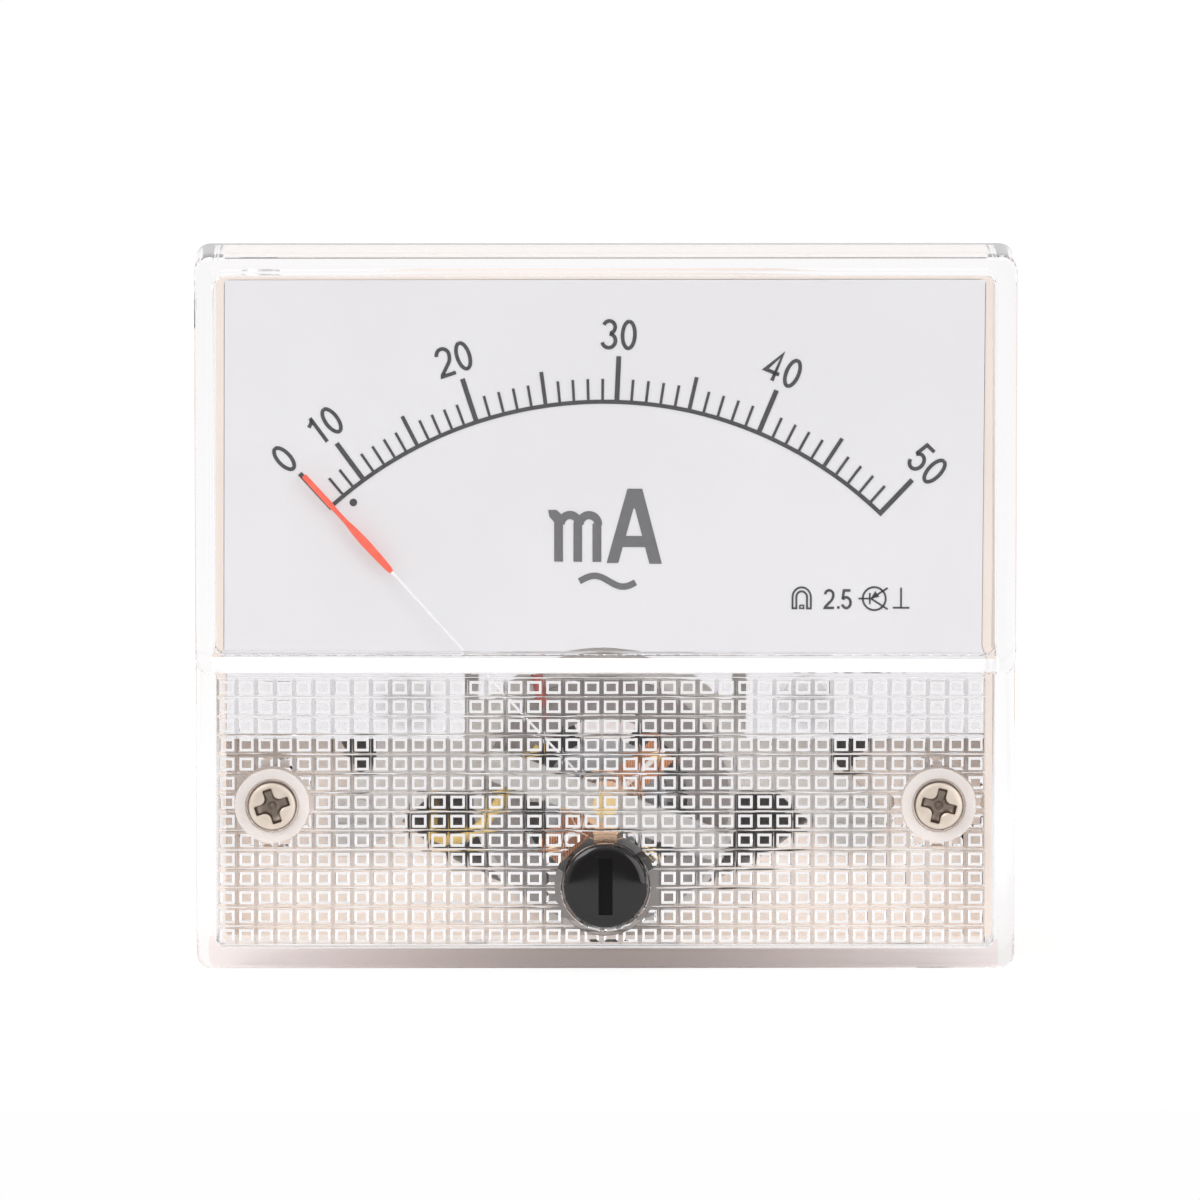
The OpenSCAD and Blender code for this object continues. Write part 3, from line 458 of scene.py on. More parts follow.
for s, side, turn in ((-1, "left", 8), (1, "right", -17)):
    x = s * terminal_x
    piece("terminal_washer_" + side, ring_washer(4.5, 2.1, *(c.y for c in box_mm("terminal_washers")), x, 0),
          pale_brass, "meter", "brass", "terminal_washers")
    piece("terminal_nut_" + side, nut(7, nut_low.y, nut_high.y, x, 0, 1.9, turn), brass, "meter", "brass",
          "terminal_nuts")
    piece("outer_washer_" + side, ring_washer(4.5, 2.1, *(c.y for c in box_mm("outer_washers")), x, 0),
          pale_brass, "meter", "brass", "outer_washers")
    piece("outer_nut_" + side, nut(7, outer_low.y, outer_high.y, x, 0, 1.9, -turn), brass, "meter", "brass",
          "outer_nuts")
piece("terminal_bolts", merged(*[m for s in (-1, 1) for m in (
    threaded(2.0, 0.7, drum_back + 0.3, term_high.y, s * terminal_x, 0, tip=0.6),
    turned([(1.98, drum_back - 2), (1.98, drum_back + 0.32), (0.001, drum_back + 0.34)],
           s * terminal_x, 0, 36),
    turned([(4.5, drum_back - 4.5), (4.6, drum_back - 4.4), (4.6, drum_back - 2)], s * terminal_x, 0, 6),
    turned([(1.5, term_low.y), (1.5, drum_back - 4.4)], s * terminal_x, 0, 28))]),
    brass, "meter", "brass", "terminal_studs", crease=40)
tin = plated("tin_plate", (0.80, 0.80, 0.81), 0.22, 0.12)
lug_low, lug_high = box_mm("solder_lugs")


def lug(x):
    """A stamped lug: a ring on the stud, and a neck with an eye for the wire."""
    ring_r, neck, eye_z = 4.1, 1.3, 10
    outline = [(ring_r * math.sin(a), ring_r * math.cos(a)) for a in
               [math.radians(d) for d in range(22, 339, 8)]]
    outline += [(-neck, 5.2), (-neck, eye_z)]
    outline += [(-neck * math.cos(a), eye_z + neck * math.sin(a)) for a in
                [math.radians(d) for d in range(10, 180, 12)]] + [(neck, eye_z), (neck, 5.2)]
    blank = prism(outline, lug_low.y, lug_high.y, x)
    return worked(blank, "DIFFERENCE", turned([(2.1, lug_low.y - 1), (2.1, lug_high.y + 1)], x, 0, 40),
                  turned([(0.65, lug_low.y - 1), (0.65, lug_high.y + 1)], x, eye_z, 24))


piece("solder_lug_pair", merged(lug(-terminal_x), lug(terminal_x)), tin, "meter", "tinned", "solder_lugs",
      bevel=0.05)


# ---- Rectifier inside the drum ----
# A phenolic board across the terminal studs carries four glass diodes and a series resistor, held by
# two nuts. It is drawn as the model has it, with its real finishes.
def finish_node(node, material):
    """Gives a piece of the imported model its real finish."""
    mesh = frame["nodes"][node].data
    mesh.materials.clear()
    mesh.materials.append(material)


def phenolic():
    f = Finish("phenolic_board")
    paper = f.noise(0.5, 5, 0.7, (1, 1, 0.25))
    return f.solid(Base_Color=f.blend(paper, (0.42, 0.24, 0.10), (0.62, 0.42, 0.20)),
                   Roughness=paper * 0.2 + 0.4, Normal=f.bump(paper, 0.01))


def lacquered(name, colour):
    f = Finish(name)
    run = f.noise(1.2, 2)
    return f.solid(Base_Color=f.blend(run, tuple(c * 0.8 for c in colour), colour),
                   Roughness=run * 0.15 + 0.15, Coat_Weight=0.5, Normal=f.bump(run, 0.01))


finish_node("rectifier_board", phenolic())
finish_node("diodes", lacquered("diode_glass", (0.60, 0.25, 0.10)))
finish_node("series_resistor", lacquered("resistor_lacquer", (0.30, 0.48, 0.62)))
finish_node("board_nuts", zinc)


# ---- Movement ----
# A grey plate across the drum's mouth carries the soft-iron ring, the core magnet and the bridges.
# The copper coil swings between them on two hairsprings.
steel_grey = plated("carrier_zinc", (0.60, 0.57, 0.54), 0.5, 0.12)
nickel = plated("nickel", (0.74, 0.72, 0.67), 0.24)
satin_steel = plated("satin_steel", (0.52, 0.50, 0.475), 0.42, 0.12)
iron = plated("blued_iron", (0.25, 0.225, 0.215), 0.42, 0.14)
magnet = plated("magnet", (0.34, 0.34, 0.345), 0.42, 0.14, 0.006)
bronze = plated("spring_bronze", (0.74, 0.49, 0.32), 0.28)
aluminium = plated("aluminium", (0.80, 0.74, 0.72), 0.34)


def wound():
    """Enamelled copper wire laid side by side along the coil's legs, with painted shade in the grooves
    between the turns.
    """
    f = Finish("copper_winding")
    turns = f.node("TexWave", {"wave_type": "BANDS", "bands_direction": "X"},
                   {"Vector": f.place(), "Scale": 1600.0, "Distortion": 1.2, "Detail": 1.0})
    # Painted shade: the dark bands stand for the shade that falls between neighbouring turns of wire.
    return f.solid(Base_Color=f.blend(turns, (0.30, 0.09, 0.035), (0.74, 0.33, 0.14)), Metallic=0.7,
                   Roughness=0.3, Normal=f.bump(turns, 0.03), Coat_Weight=0.4)


for node, material in {
    "movement_carrier": steel_grey, "carrier_screws": satin_steel, "yoke_ring": iron,
    "core_magnet": magnet, "core_spacers": aluminium, "front_bridge": satin_steel,
    "front_pillars": brass, "bridge_screws": satin_steel, "front_jewel_screw": brass,
    "zero_lever": bronze, "front_hairspring": bronze, "balance_weights": brass, "spindle": nickel,
    "coil_former": aluminium, "coil_winding": wound(), "rear_hairspring": bronze,
    "rear_bridge": nickel, "rear_pillars": brass, "rear_bridge_screws": zinc,
    "rear_jewel_screw": brass, "dial_screws": zinc, "dial_posts": brass,
}.items():
    finish_node(node, material)


# ---- Leads ----
# A yellow and a red wire run from the movement down through the drum to the rectifier, with their
# ends stripped and tinned.
def smooth_path(points, per_span=5):
    """More points on a smooth curve through the given ones."""
    out, p = [], [Vector(q) for q in points]
    for i in range(len(p) - 1):
        a, b, c, d = p[max(i - 1, 0)], p[i], p[i + 1], p[min(i + 2, len(p) - 1)]
        for k in range(per_span):
            t = k / per_span
            out.append(0.5 * ((2 * b) + (c - a) * t + (2 * a - 5 * b + 4 * c - d) * t * t
                              + (3 * b - a - 3 * c + d) * t ** 3))
    return out + [p[-1]]


def wire(path, radii, sides=14):
    """A round wire along a path, with a radius at each point."""
    rings, side = [], Vector((1, 0.1, 0.2)).normalized()
    for i, point in enumerate(path):
        along = (path[min(i + 1, len(path) - 1)] - path[max(i - 1, 0)]).normalized()
        side = (side - along * side.dot(along)).normalized()
        up = along.cross(side)
        r = radii[i] if isinstance(radii, list) else radii
        turns = [2 * math.pi * k / sides for k in range(sides)]
        rings.append([point + r * (math.cos(a) * side + math.sin(a) * up) for a in turns])
    return lofted(rings)


def sleeved(name, colour):
    """Soft vinyl insulation with faint handling marks."""
    f = Finish(name)
    marks = f.noise(0.8, 4, 0.6)
    return f.solid(Base_Color=f.blend(marks.above(0.55, 0.2), colour, tuple(c * 0.85 for c in colour)),
                   Roughness=marks * 0.2 + 0.3, Normal=f.bump(marks, 0.008))


board_face = box_mm("rectifier_board")[0].y
for name, colour, slot, node, points in (
    ("yellow_wire", (0.74, 0.52, 0.15), "yellow_pvc", "lead_yellow",
     [(-5.3, -5, -11), (-7.4, -5, -13.9), (-9.5, -5.2, -17), (-11.6, -5, -18.3), (-13.4, -3.6, -18.2),
      (-13.6, -1, -17), (-13, 4, -14), (-10.5, 9, -10.5), (-7.6, 13, -8), (-5.6, 17, -7),
      (-5.4, board_face - 1, -6.8), (-5.4, board_face, -6.8)]),
    ("red_wire", (0.42, 0.07, 0.06), "red_pvc", "lead_red",
     [(-4.6, -5, -8.4), (-5, -5, -7), (-5.6, -5, -4.6), (-6, -4.9, -2.6), (-6.2, -3.6, -1), (-6.4, -1, 0),
      (-7, 4, 1), (-8, 9, 0), (-8.8, 13, -3), (-9.2, 17, -5.6), (-9.2, board_face - 1, -6.2),
      (-9.2, board_face, -6.2)]),
):
    path = smooth_path(points)
    radii = [0.24 if i < 3 or i > len(path) - 5 else 0.45 for i in range(len(path))]
    piece(name, wire(path, radii), sleeved(name, colour), "meter", slot, node, crease=50)


# ---- Dial ----
# A thin aluminium plate painted silver-grey. It rests on two bosses of the tray and is held by two
# small screws beside the arch that clears the movement.
def dial_paint():
    f = Finish("dial_paint")
    fleck, cloud = f.noise(0.16, 3, 0.6), f.noise(14, 3)
    tone = f.blend(cloud.above(0.5, 0.3), (0.785, 0.785, 0.795), (0.815, 0.815, 0.825))
    tone = f.blend(fleck.above(0.66, 0.06) * 0.16, tone, (0.62, 0.63, 0.66))
    return f.solid(Base_Color=tone, Roughness=fleck * 0.16 + 0.42, Normal=f.bump(fleck, 0.004),
                   Specular_IOR_Level=0.4)


finish_node("dial_plate", dial_paint())


# ---- Printing on the dial ----
# Screen-printed in dark grey ink, a few hundredths of a millimetre thick: the arc and its ticks,
# numbers every ten, the unit and its wave, and the usual small signs for this kind of movement.
def ink(name, colour):
    f = Finish(name)
    pores = f.noise(0.12, 3, 0.7)
    return f.solid(Base_Color=f.blend(pores.above(0.62, 0.1) * 0.35, colour, tuple(c * 1.9 for c in colour)),
                   Roughness=pores * 0.2 + 0.45, Normal=f.bump(pores, 0.004))


dark_ink = ink("dark_ink", (0.033, 0.033, 0.036))
grey_ink = ink("grey_ink", (0.13, 0.13, 0.135))
finish_node("scale_marks", dark_ink)
print_back = dial_low.y
print_front = print_back - 0.035


def stroke(points, width, front=print_front):
    """A printed line of even width through (x, z) points, with square ends and mitred corners."""
    left, right = [], []
    p = [Vector(q) for q in points]
    for i, here in enumerate(p):
        before = (here - p[i - 1]).normalized() if i else None
        after = (p[i + 1] - here).normalized() if i < len(p) - 1 else None
        along = ((before or after) + (after or before)).normalized()
        across = Vector((-along.y, along.x))
        reach = width / 2 / max(0.5, abs(across.dot(Vector((-(before or after).y, (before or after).x)))))
        left.append(here + across * reach)
        right.append(here - across * reach)
    rings = [[(a.x, front, a.y), (b.x, front, b.y), (b.x, print_back, b.y), (a.x, print_back, a.y)]
             for a, b in zip(left, right)]
    return lofted(rings)


def bend(cx, cz, rx, rz, start, end, steps=14):
    """Points on an oval arc. Angles run anticlockwise from the right, in degrees."""
    return [(cx + rx * math.cos(math.radians(start + (end - start) * i / steps)),
             cz + rz * math.sin(math.radians(start + (end - start) * i / steps))) for i in range(steps + 1)]


def glyph(sign):
    """The strokes of a narrow plain numeral, in a cell 1 high, and its width."""
    return {
        "0": ([bend(0.27, 0.5, 0.21, 0.46, 90, 450, 28)], 0.66),
        "1": ([[(0.36, 0.0), (0.36, 1.0)], [(0.365, 0.93), (0.28, 0.83), (0.14, 0.76)]], 0.64),
        "2": ([bend(0.27, 0.73, 0.215, 0.23, 175, 0, 12) + bend(0.12, 0.72, 0.365, 0.42, -8, -48, 5)
               + [(0.06, 0.09), (0.045, 0.04), (0.52, 0.04)]], 0.66),
        "3": ([bend(0.26, 0.745, 0.20, 0.215, 160, -80, 12),
               bend(0.26, 0.28, 0.23, 0.24, 85, -165, 14)], 0.66),
        "4": ([[(0.40, 0.0), (0.40, 0.97), (0.04, 0.28), (0.55, 0.28)]], 0.68),
        "5": ([[(0.48, 0.96), (0.14, 0.96), (0.075, 0.50)],
               bend(0.265, 0.32, 0.225, 0.28, 145, -160, 16)], 0.66),
        ".": ([[(0.09, 0.0), (0.09, 0.13)]], 0.24),
    }[sign]


def number(text, height, weight, x, z, turn=0.0):
    """A number centred on a point and turned clockwise by an angle in degrees."""
    s, c = math.sin(math.radians(turn)), math.cos(math.radians(turn))
    wide = sum(glyph(sign)[1] for sign in text) - 0.1
    strokes, start = [], -wide / 2 * height
    for sign in text:
        lines, advance = glyph(sign)
        for line in lines:
            flat = [(start + u * height, (v - 0.5) * height) for u, v in line]
            strokes.append(stroke([(x + c * u + s * v, z - s * u + c * v) for u, v in flat], weight))
        start += advance * height
    return merged(*strokes)


numbers, number_r, number_h, number_stroke = [], 36.9, 2.3, 0.29
for text, angle in (("0", -42.73), ("10", -36.42), ("20", -18.54),
                    ("30", 1.81), ("40", 22.38), ("50", 43.48)):
    a = math.radians(angle)
    numbers.append(number(text, number_h, number_stroke, pivot.x + number_r * math.sin(a),
                          pivot.z + number_r * math.cos(a), angle))
dot_angle, dot_reach, dot_r = math.radians(-39.7), 30.7, 0.30
numbers.append(turned([(dot_r, print_front), (dot_r, print_back)], pivot.x + dot_reach * math.sin(dot_angle),
                      pivot.z + dot_reach * math.cos(dot_angle), 20))
piece("scale_numbers", merged(*numbers), dark_ink, "meter", "dial_ink")

unit_x, unit_z = 0.0, 3.62
letter_m = [
    [(-3.83, 0), (-3.14, 0), (-3.14, 2.95), (-3.07, 3.2), (-3.3, 3.75), (-3.65, 4.05), (-4.3, 4.05),
     (-4.2, 3.5), (-3.83, 3.1)],
    [(-2.32, 0), (-1.64, 0), (-1.64, 3.1), (-1.7, 3.55), (-2.2, 3.4), (-2.32, 3.0)],
    [(-0.82, 0), (-0.13, 0), (-0.13, 3.0), (-0.82, 3.0)],
]
arches = []
for left, right in ((-3.2, -1.98), (-1.72, -0.475)):
    mid, half = (left + right) / 2, (right - left) / 2
    outer = bend(mid, 2.9, half + 0.42, 1.08, 0, 180, 18)
    inner = bend(mid, 2.9, half - 0.20, 0.44, 180, 0, 18)
    arches.append((outer, inner))
unit = [prism([(unit_x + u, unit_z + v) for u, v in shape], print_front, print_back) for shape in letter_m]
for outer, inner in arches:
    rings = []
    for (ou, ov), (iu, iv) in zip(outer, reversed(inner)):
        rings.append([(unit_x + ou, print_front, unit_z + ov), (unit_x + iu, print_front, unit_z + iv),
                      (unit_x + iu, print_back, unit_z + iv), (unit_x + ou, print_back, unit_z + ov)])
    unit.append(lofted(rings))
for shape in ([(0.28, -0.08), (1.2, -0.08), (2.5, 4.6), (2.5, 5.75), (1.92, 5.75)],
              [(4.62, -0.12), (3.64, -0.12), (2.4, 4.6), (2.4, 5.75), (3.08, 5.75)],
              [(1.5, 1.18), (3.42, 1.18), (3.2, 2.05), (1.7, 2.05)],
              [(1.92, 5.75), (3.08, 5.75), (2.75, 4.2), (2.2, 4.2)]):
    unit.append(prism([(unit_x + u, unit_z + v) for u, v in shape], print_front, print_back))
wave_w, wave_h, wave_steps = 4.4, 0.42, 36
wave = []
for t in [i / wave_steps for i in range(wave_steps + 1)]:
    swell = wave_h * math.sin(2 * math.pi * t * 0.98 - 0.12)
    wave.append((unit_x - 1.85 + wave_w * t, unit_z - 1.52 + swell + 0.16 * (t - 0.5) ** 2))
unit.append(stroke(wave, 0.5))
piece("unit_letters", worked(unit[0], "UNION", *unit[1:]), grey_ink, "meter", "dial_ink")

sign_x, sign_z = 15.6, 1.0


def drawn(width, *points):
    """A printed line through points measured from the first sign."""
    return stroke([(sign_x + u, sign_z + v) for u, v in points], width)


magnet_sign = [
    stroke(bend(sign_x, sign_z - 0.05, 0.72, 0.78, 180, 0, 14), 0.15),
    drawn(0.15, (-0.72, 0), (-0.72, -0.92), (-0.42, -0.92), (-0.42, 0)),
    drawn(0.15, (0.72, 0), (0.72, -0.92), (0.42, -0.92), (0.42, 0)),
    stroke(bend(sign_x, sign_z - 0.05, 0.42, 0.46, 180, 0, 14), 0.15),
    drawn(0.11, (-0.15, -0.68), (0.15, -0.68), (0.15, -0.92), (-0.15, -0.92), (-0.15, -0.68)),
]
accuracy = number("2.5", 1.5, 0.2, sign_x + 2.85, sign_z - 0.18)
rectifier_sign = [
    stroke(bend(sign_x + 5.7, sign_z - 0.12, 0.9, 0.9, 0, 360, 28), 0.15),
    drawn(0.13, (4.45, -0.12), (5.4, -0.12)),
    drawn(0.13, (5.35, 0.32), (5.35, -0.55)),
    drawn(0.14, (5.45, -0.12), (6.75, 0.72)),
    drawn(0.14, (5.45, -0.12), (6.75, -0.95)),
    prism([(sign_x + 5.42, sign_z - 0.12), (sign_x + 6.1, sign_z + 0.02), (sign_x + 5.78, sign_z + 0.48)],
          print_front, print_back),
]
upright_sign = [drawn(0.14, (7.8, -0.82), (7.8, 0.75)), drawn(0.14, (7.15, -0.82), (8.45, -0.82))]
signs = [*magnet_sign, accuracy, *rectifier_sign, *upright_sign]
piece("class_signs", merged(*signs), dark_ink, "meter", "dial_ink")


# ---- Pointer ----
# A white-painted wire with a flat red leaf and tip, soldered to a hub plate whose other three arms
# carry the balance weights. It swings with the coil and rests over zero.
rest_turn = -42.3
needle_low, needle_high = box_mm("needle")
tip_y = needle_low.y
hub_y = needle_high.y - 0.2


def from_pivot(mesh, turn=rest_turn):
    """Takes a mesh drawn straight up from the pivot to where the pointer rests."""
    mesh.transform(Matrix.Translation((pivot.x, 0, pivot.z)) @ Matrix.Rotation(math.radians(turn), 4, "Y"))
    return mesh


def pointer_paint():
    """White on the wire and red from the leaf to the tip, with a thin ragged edge between them."""
    f = Finish("pointer_paint")
    x, z = f.axis("X") / MM, (f.axis("Z") / MM - pivot.z)
    reach = (x * x + z * z) ** 0.5
    edge = f.noise(0.5, 2)
    red = (reach + edge * 0.25).above(24.75, 0.06)
    tone = f.blend(edge.above(0.5, 0.3), (0.92, 0.105, 0.06), (0.97, 0.15, 0.085))
    return f.solid(Base_Color=f.blend(red, (0.93, 0.93, 0.93), tone), Roughness=edge * 0.2 + 0.3,
                   Normal=f.bump(edge, 0.006))


leaf_widths = [(24.4, 0.22), (25, 0.48), (26, 0.59), (27, 0.64), (28, 0.66), (29, 0.57), (30, 0.37),
               (31, 0.34), (32, 0.46), (33, 0.43), (34.8, 0.43), (34.93, 0.34)]
leaf = [(-w / 2, r) for r, w in leaf_widths] + [(w / 2, r) for r, w in reversed(leaf_widths)]
arm = wire([Vector((0, y, r)) for y, r in (
    (hub_y + 0.1, 1.3), (hub_y + 0.1, 3.9), (hub_y, 4.3), (tip_y + 0.2, 8.9), (tip_y + 0.1, 9.4),
    (tip_y + 0.1, 24.6))], 0.1, 12)
paint = pointer_paint()
piece("pointer_arm", from_pivot(merged(arm, prism(leaf, tip_y + 0.03, tip_y + 0.15))), paint, "pointer",
      "needle_paint", "needle")
cross = worked(turned([(1.6, hub_y), (1.6, hub_y + 0.2)], 0, 0, 48), "UNION",
               boxed(-6.4, 6.4, hub_y, hub_y + 0.2, -0.2, 0.2),
               boxed(-0.2, 0.2, hub_y, hub_y + 0.2, -6.4, 2.2))
cross = worked(cross, "DIFFERENCE", turned([(0.9, hub_y - 1), (0.9, hub_y + 1)], 0, 0, 32))
piece("pointer_hub", from_pivot(cross), aluminium, "pointer", "aluminium", "needle", bevel=0.03)


# ---- Zero adjuster ----
# A glossy black button with a screwdriver slot, snapped into the cover. A small pin set off its axis
# sits in the fork of the zero lever.
def gloss_black():
    f = Finish("black_gloss")
    wipe, dust = f.noise(1.5, 4, 0.6, (1, 1, 0.3)), f.noise(0.2, 2)
    tone = f.blend(dust.above(0.74, 0.05) * 0.3, (0.007, 0.006, 0.006), (0.07, 0.05, 0.045))
    return f.solid(Base_Color=tone, Roughness=wipe * 0.1 + 0.05, Normal=f.bump(wipe, 0.002))


adj_low, adj_high = box_mm("zero_adjuster")
axis_z, front_y = joint_at["zero_adjuster_turn"].z, adj_low.y
button = turned([(0.001, front_y), (1.5, front_y + 0.02), (2.6, front_y + 0.07), (3.02, front_y + 0.14),
                 (3.22, front_y + 0.28), (3.3, front_y + 0.5), (3.3, front_y + 1.5), (1.8, front_y + 1.5),
                 (1.8, front_y + 2.55), (2.25, front_y + 2.6), (2.1, front_y + 2.85),
                 (0.001, front_y + 2.85)], 0, axis_z, 96)
slot_half_w = 0.55
slot_cut = lofted([[(x, front_y - 0.5, axis_z - 2.25), (x, front_y - 0.5, axis_z + 2.25),
                    (x, front_y + 1.1, axis_z + 2.2), (x, front_y + 0.5, axis_z - 2.2)]
                   for x in (-slot_half_w, slot_half_w)])
button = worked(button, "DIFFERENCE", slot_cut)
pin_r, pin_offset, pin_end = 0.45, 0.7, adj_high.y
button = worked(button, "UNION", turned([(pin_r, front_y + 2.3), (pin_r, pin_end - 0.1),
                                         (pin_r - 0.1, pin_end)], 0, axis_z + pin_offset, 24))
piece("adjuster_button", button, gloss_black(), "adjuster", "black_plastic", "zero_adjuster", crease=28)


# ---- Clear cover ----
# One clear polystyrene moulding. The window stands forward over the dial and the shelf under it ends in
# a bevelled lip. The lower face has tapered pads inside, but for smooth spots at the screws and button.
# The screw bosses are a little clouded. The grooves between pad columns carry painted grey shade, and the
# foot of the lower wall a painted shadow and reflection of the table.
skirt_half_w = 31  # half the width of the stretch with painted shadow on the foot of the lower wall


def clear_plastic(name, tint, haze=0.0, middle=None):
    """Polished clear plastic that lets the lamps through and darkens where it is seen edge on. The tint
    may be another one in the middle of the meter's width."""
    f = Finish(name)
    rim = f.node("LayerWeight", {}, {"Blend": 0.5}, 1).above(0.88, 0.09)
    tone = f.blend(rim, tint, tuple(c * 0.78 for c in tint))
    if middle:
        off = f.axis("X") / (skirt_half_w * MM)
        tone = f.blend(off * off, middle, tone)
    shader = f.node("BsdfPrincipled", {}, {"Base Color": tone, "Transmission Weight": 1.0, "Roughness": 0.0,
                                           "IOR": 1.49})
    if haze:
        milk = f.node("BsdfDiffuse", {}, {"Color": (0.94, 0.90, 0.88)})
        shader = f.node("MixShader", {}, {0: haze, 1: shader, 2: milk})
    clear = f.node("BsdfTransparent", {}, {"Color": (0.985, 0.982, 0.985)})
    soft = f.node("LightPath", output="Is Shadow Ray").high(f.node("LightPath", output="Is Diffuse Ray"))
    return f.end(f.node("MixShader", {}, {0: soft, 1: shader, 2: clear}))


depth = -cover_low.y
base_w, base_h = cover_high.x - cover_low.x, cover_high.z - cover_low.z
lean_in = 0.3  # how far each side leans in, from the panel to the window
taper = lean_in / depth
face_d, shelf_z, wall, face_wall, shelf_wall, lip = 10.0, pivot.z + 10.8, 1.5, 1.5, 1.4, 0.8
inner_d = face_d - face_wall
top_z = base_h / 2 - lean_in
smooth_spots = [(m.x, m.z, 2.75) for m in screw_mid] + [(0.0, axis_z, 3.75)]


def wide(d):
    return base_w - 2 * taper * d


def tall(d):
    return base_h - 2 * taper * d


def edged(front_d, back_d, width, height, z, corner=1.2, fillet=0.35):
    """A drafted block with its front edges rounded."""
    grow = 2 * taper
    rows = []
    for i in range(5):
        a = math.pi / 2 * i / 4
        inset = fillet * (1 - math.sin(a))
        rows.append((-(front_d - fillet * (1 - math.cos(a))), width - 2 * inset, height - 2 * inset,
                     max(0.1, corner - inset), z))
    rows.append((-back_d, width + grow * (front_d - back_d), height + grow * (front_d - back_d), corner, z))
    return rounded_box(rows)


# Width, height, rise and shift up of a pad's margin, foot and crown. Its sides slope at 45 degrees.
pad_steps = ((1.34, 1.24, 0.005, 0), (1.14, 1.02, 0.01, 0), (0.73, 0.60, 0.215, -0.018))


def sheet_of_pads(columns=40, rows=14, pitch_x=1.504, pitch_z=1.505, left=-30.39):
    """A sheet of cells, each with a small tapered pad, and a fine wavy bead between its rows."""
    first_row, chance = pivot.z + 9.4, random.Random(7)
    top = first_row + pitch_z / 2
    points, faces, across = [], [], columns + 1

    def smooth_at(x, z):
        return any(math.hypot(x - cx, z - cz) < r for cx, cz, r in smooth_spots)

    for j in range(rows + 1):
        for step, rise in ((0.055, 0.035), (0, 0.09), (-0.055, 0.035)):
            for i in range(across):
                x, z = left + i * pitch_x, top - j * pitch_z + step
                wave = 0 if step or i in (0, columns) or j in (0, rows) else chance.uniform(-0.03, 0.03)
                points.append((x, (0.02 if smooth_at(x, z) else rise) - inner_d, z + wave))
    for j in range(rows + 1):
        for level in range(2):
            faces += [tuple((3 * j + level + v) * across + i + u for u, v in ((0, 0), (1, 0), (1, 1), (0, 1)))
                      for i in range(columns)]
    for j in range(rows):
        for i in range(columns):
            a, b = (3 * j + 2) * across + i, (3 * j + 3) * across + i
            ring = [a, a + 1, b + 1, b]
            x, z = left + (i + 0.5) * pitch_x, top - (j + 0.5) * pitch_z
            if not smooth_at(x, z):
                lean = [chance.uniform(-0.004, 0.004) for _ in range(3)]
                for w, h, rise, shift in pad_steps:
                    start = len(points)
                    points += [(x + sx * w / 2 + lean[0] * (rise > 0.1),
                                rise + (lean[1] * sx + lean[2] * sz) - inner_d,
                                z + shift + sz * h / 2) for sx, sz in ((-1, 1), (1, 1), (1, -1), (-1, -1))]
                    inner = list(range(start, start + 4))
                    faces += [(ring[k], ring[(k + 1) % 4], inner[(k + 1) % 4], inner[k]) for k in range(4)]
                    ring = inner
            faces.append(tuple(ring))
    a, last, right = len(points), (3 * rows + 2) * across, left + columns * pitch_x
    high, low = top + 0.055, top - rows * pitch_z - 0.055
    points += [(x, -inner_d - 0.3, z) for x, z in ((left, high), (right, high), (right, low), (left, low))]
    faces += [tuple(range(columns, -1, -1)) + (a, a + 1),
              tuple(range(last, last + across)) + (a + 2, a + 3),
              tuple(range(0, last + 1, across)) + (a + 3, a),
              tuple(range(last + columns, 0, -across)) + (a + 1, a + 2),
              (a + 3, a + 2, a + 1, a)]
    return closed_mesh(points, faces)


window_h = top_z - shelf_z
window_mid = (top_z + shelf_z) / 2
shell = worked(edged(face_d, 0, wide(face_d), tall(face_d), 0), "UNION",
               edged(depth, inner_d, wide(depth), window_h, window_mid))
lower_room = edged(inner_d, -1, wide(inner_d) - 2 * wall, tall(inner_d) - 2 * wall, 0, 1.0, 0.2)
upper_room = edged(depth - face_wall, inner_d - 1, wide(depth - face_wall) - 2 * wall,
                   window_h - wall - shelf_wall, window_mid + (shelf_wall - wall) / 2, 1.0, 0.2)
shell = worked(shell, "DIFFERENCE", lower_room, upper_room)
lip_reach = wide(inner_d) / 2 - wall + 0.1
lip_start, lip_end = -inner_d - 0.15, lip - inner_d + 0.15
lip_slope = 0.942  # shallow enough for clear plastic to reflect all the light from the front
lip_rise = lip_slope * (lip_end - lip_start)
shelf_lip = boxed(-lip_reach, lip_reach, -inner_d - 0.1, lip_end, shelf_z, shelf_z + shelf_wall - 0.1)
under = [(lip_start, 0), (lip_end + 0.01, lip_rise + 0.01), (lip_end + 0.01, -0.1), (-inner_d + 0.002, -0.1),
         (-inner_d + 0.002, 0)]
bevel = lofted([[(x, y, shelf_z + z) for y, z in under] for x in (-lip_reach, lip_reach)])
post_r, hub_r = 3.0, 4.0
posts = [turned([(post_r, -inner_d - 0.2), (post_r, floor_y - 0.04)], m.x, m.z, 64) for m in screw_mid]
posts.append(turned([(hub_r, -inner_d - 0.2), (hub_r, -inner_d + 0.8)], 0, axis_z, 80))
shell = worked(shell, "UNION", shelf_lip, sheet_of_pads(), *posts)
shank_hole_r, head_hole_r, button_hole_r, stem_hole_r = 1.35, 2.03, 3.4, 1.9
boss_r, boss_y = 2.92, -face_d + 0.02
cuts = [turned([(shank_hole_r, -12), (shank_hole_r, floor_y + 1)], m.x, m.z, 40) for m in screw_mid]
# A shallow step across the foot of the lower wall gives the painted shadow there faces of its own.
cuts.append(boxed(-skirt_half_w, skirt_half_w, -0.03, 1, -base_h / 2 - 1, -base_h / 2 + 2))
cuts += [turned([(boss_r + 0.03, -face_d - 0.01), (boss_r, boss_y)], m.x, m.z, 72) for m in screw_mid]
cuts += [turned([(head_hole_r + 0.12, -face_d - 0.01), (head_hole_r, -face_d + 0.12),
                 (head_hole_r, -face_d + 0.6)], m.x, m.z, 56) for m in screw_mid]
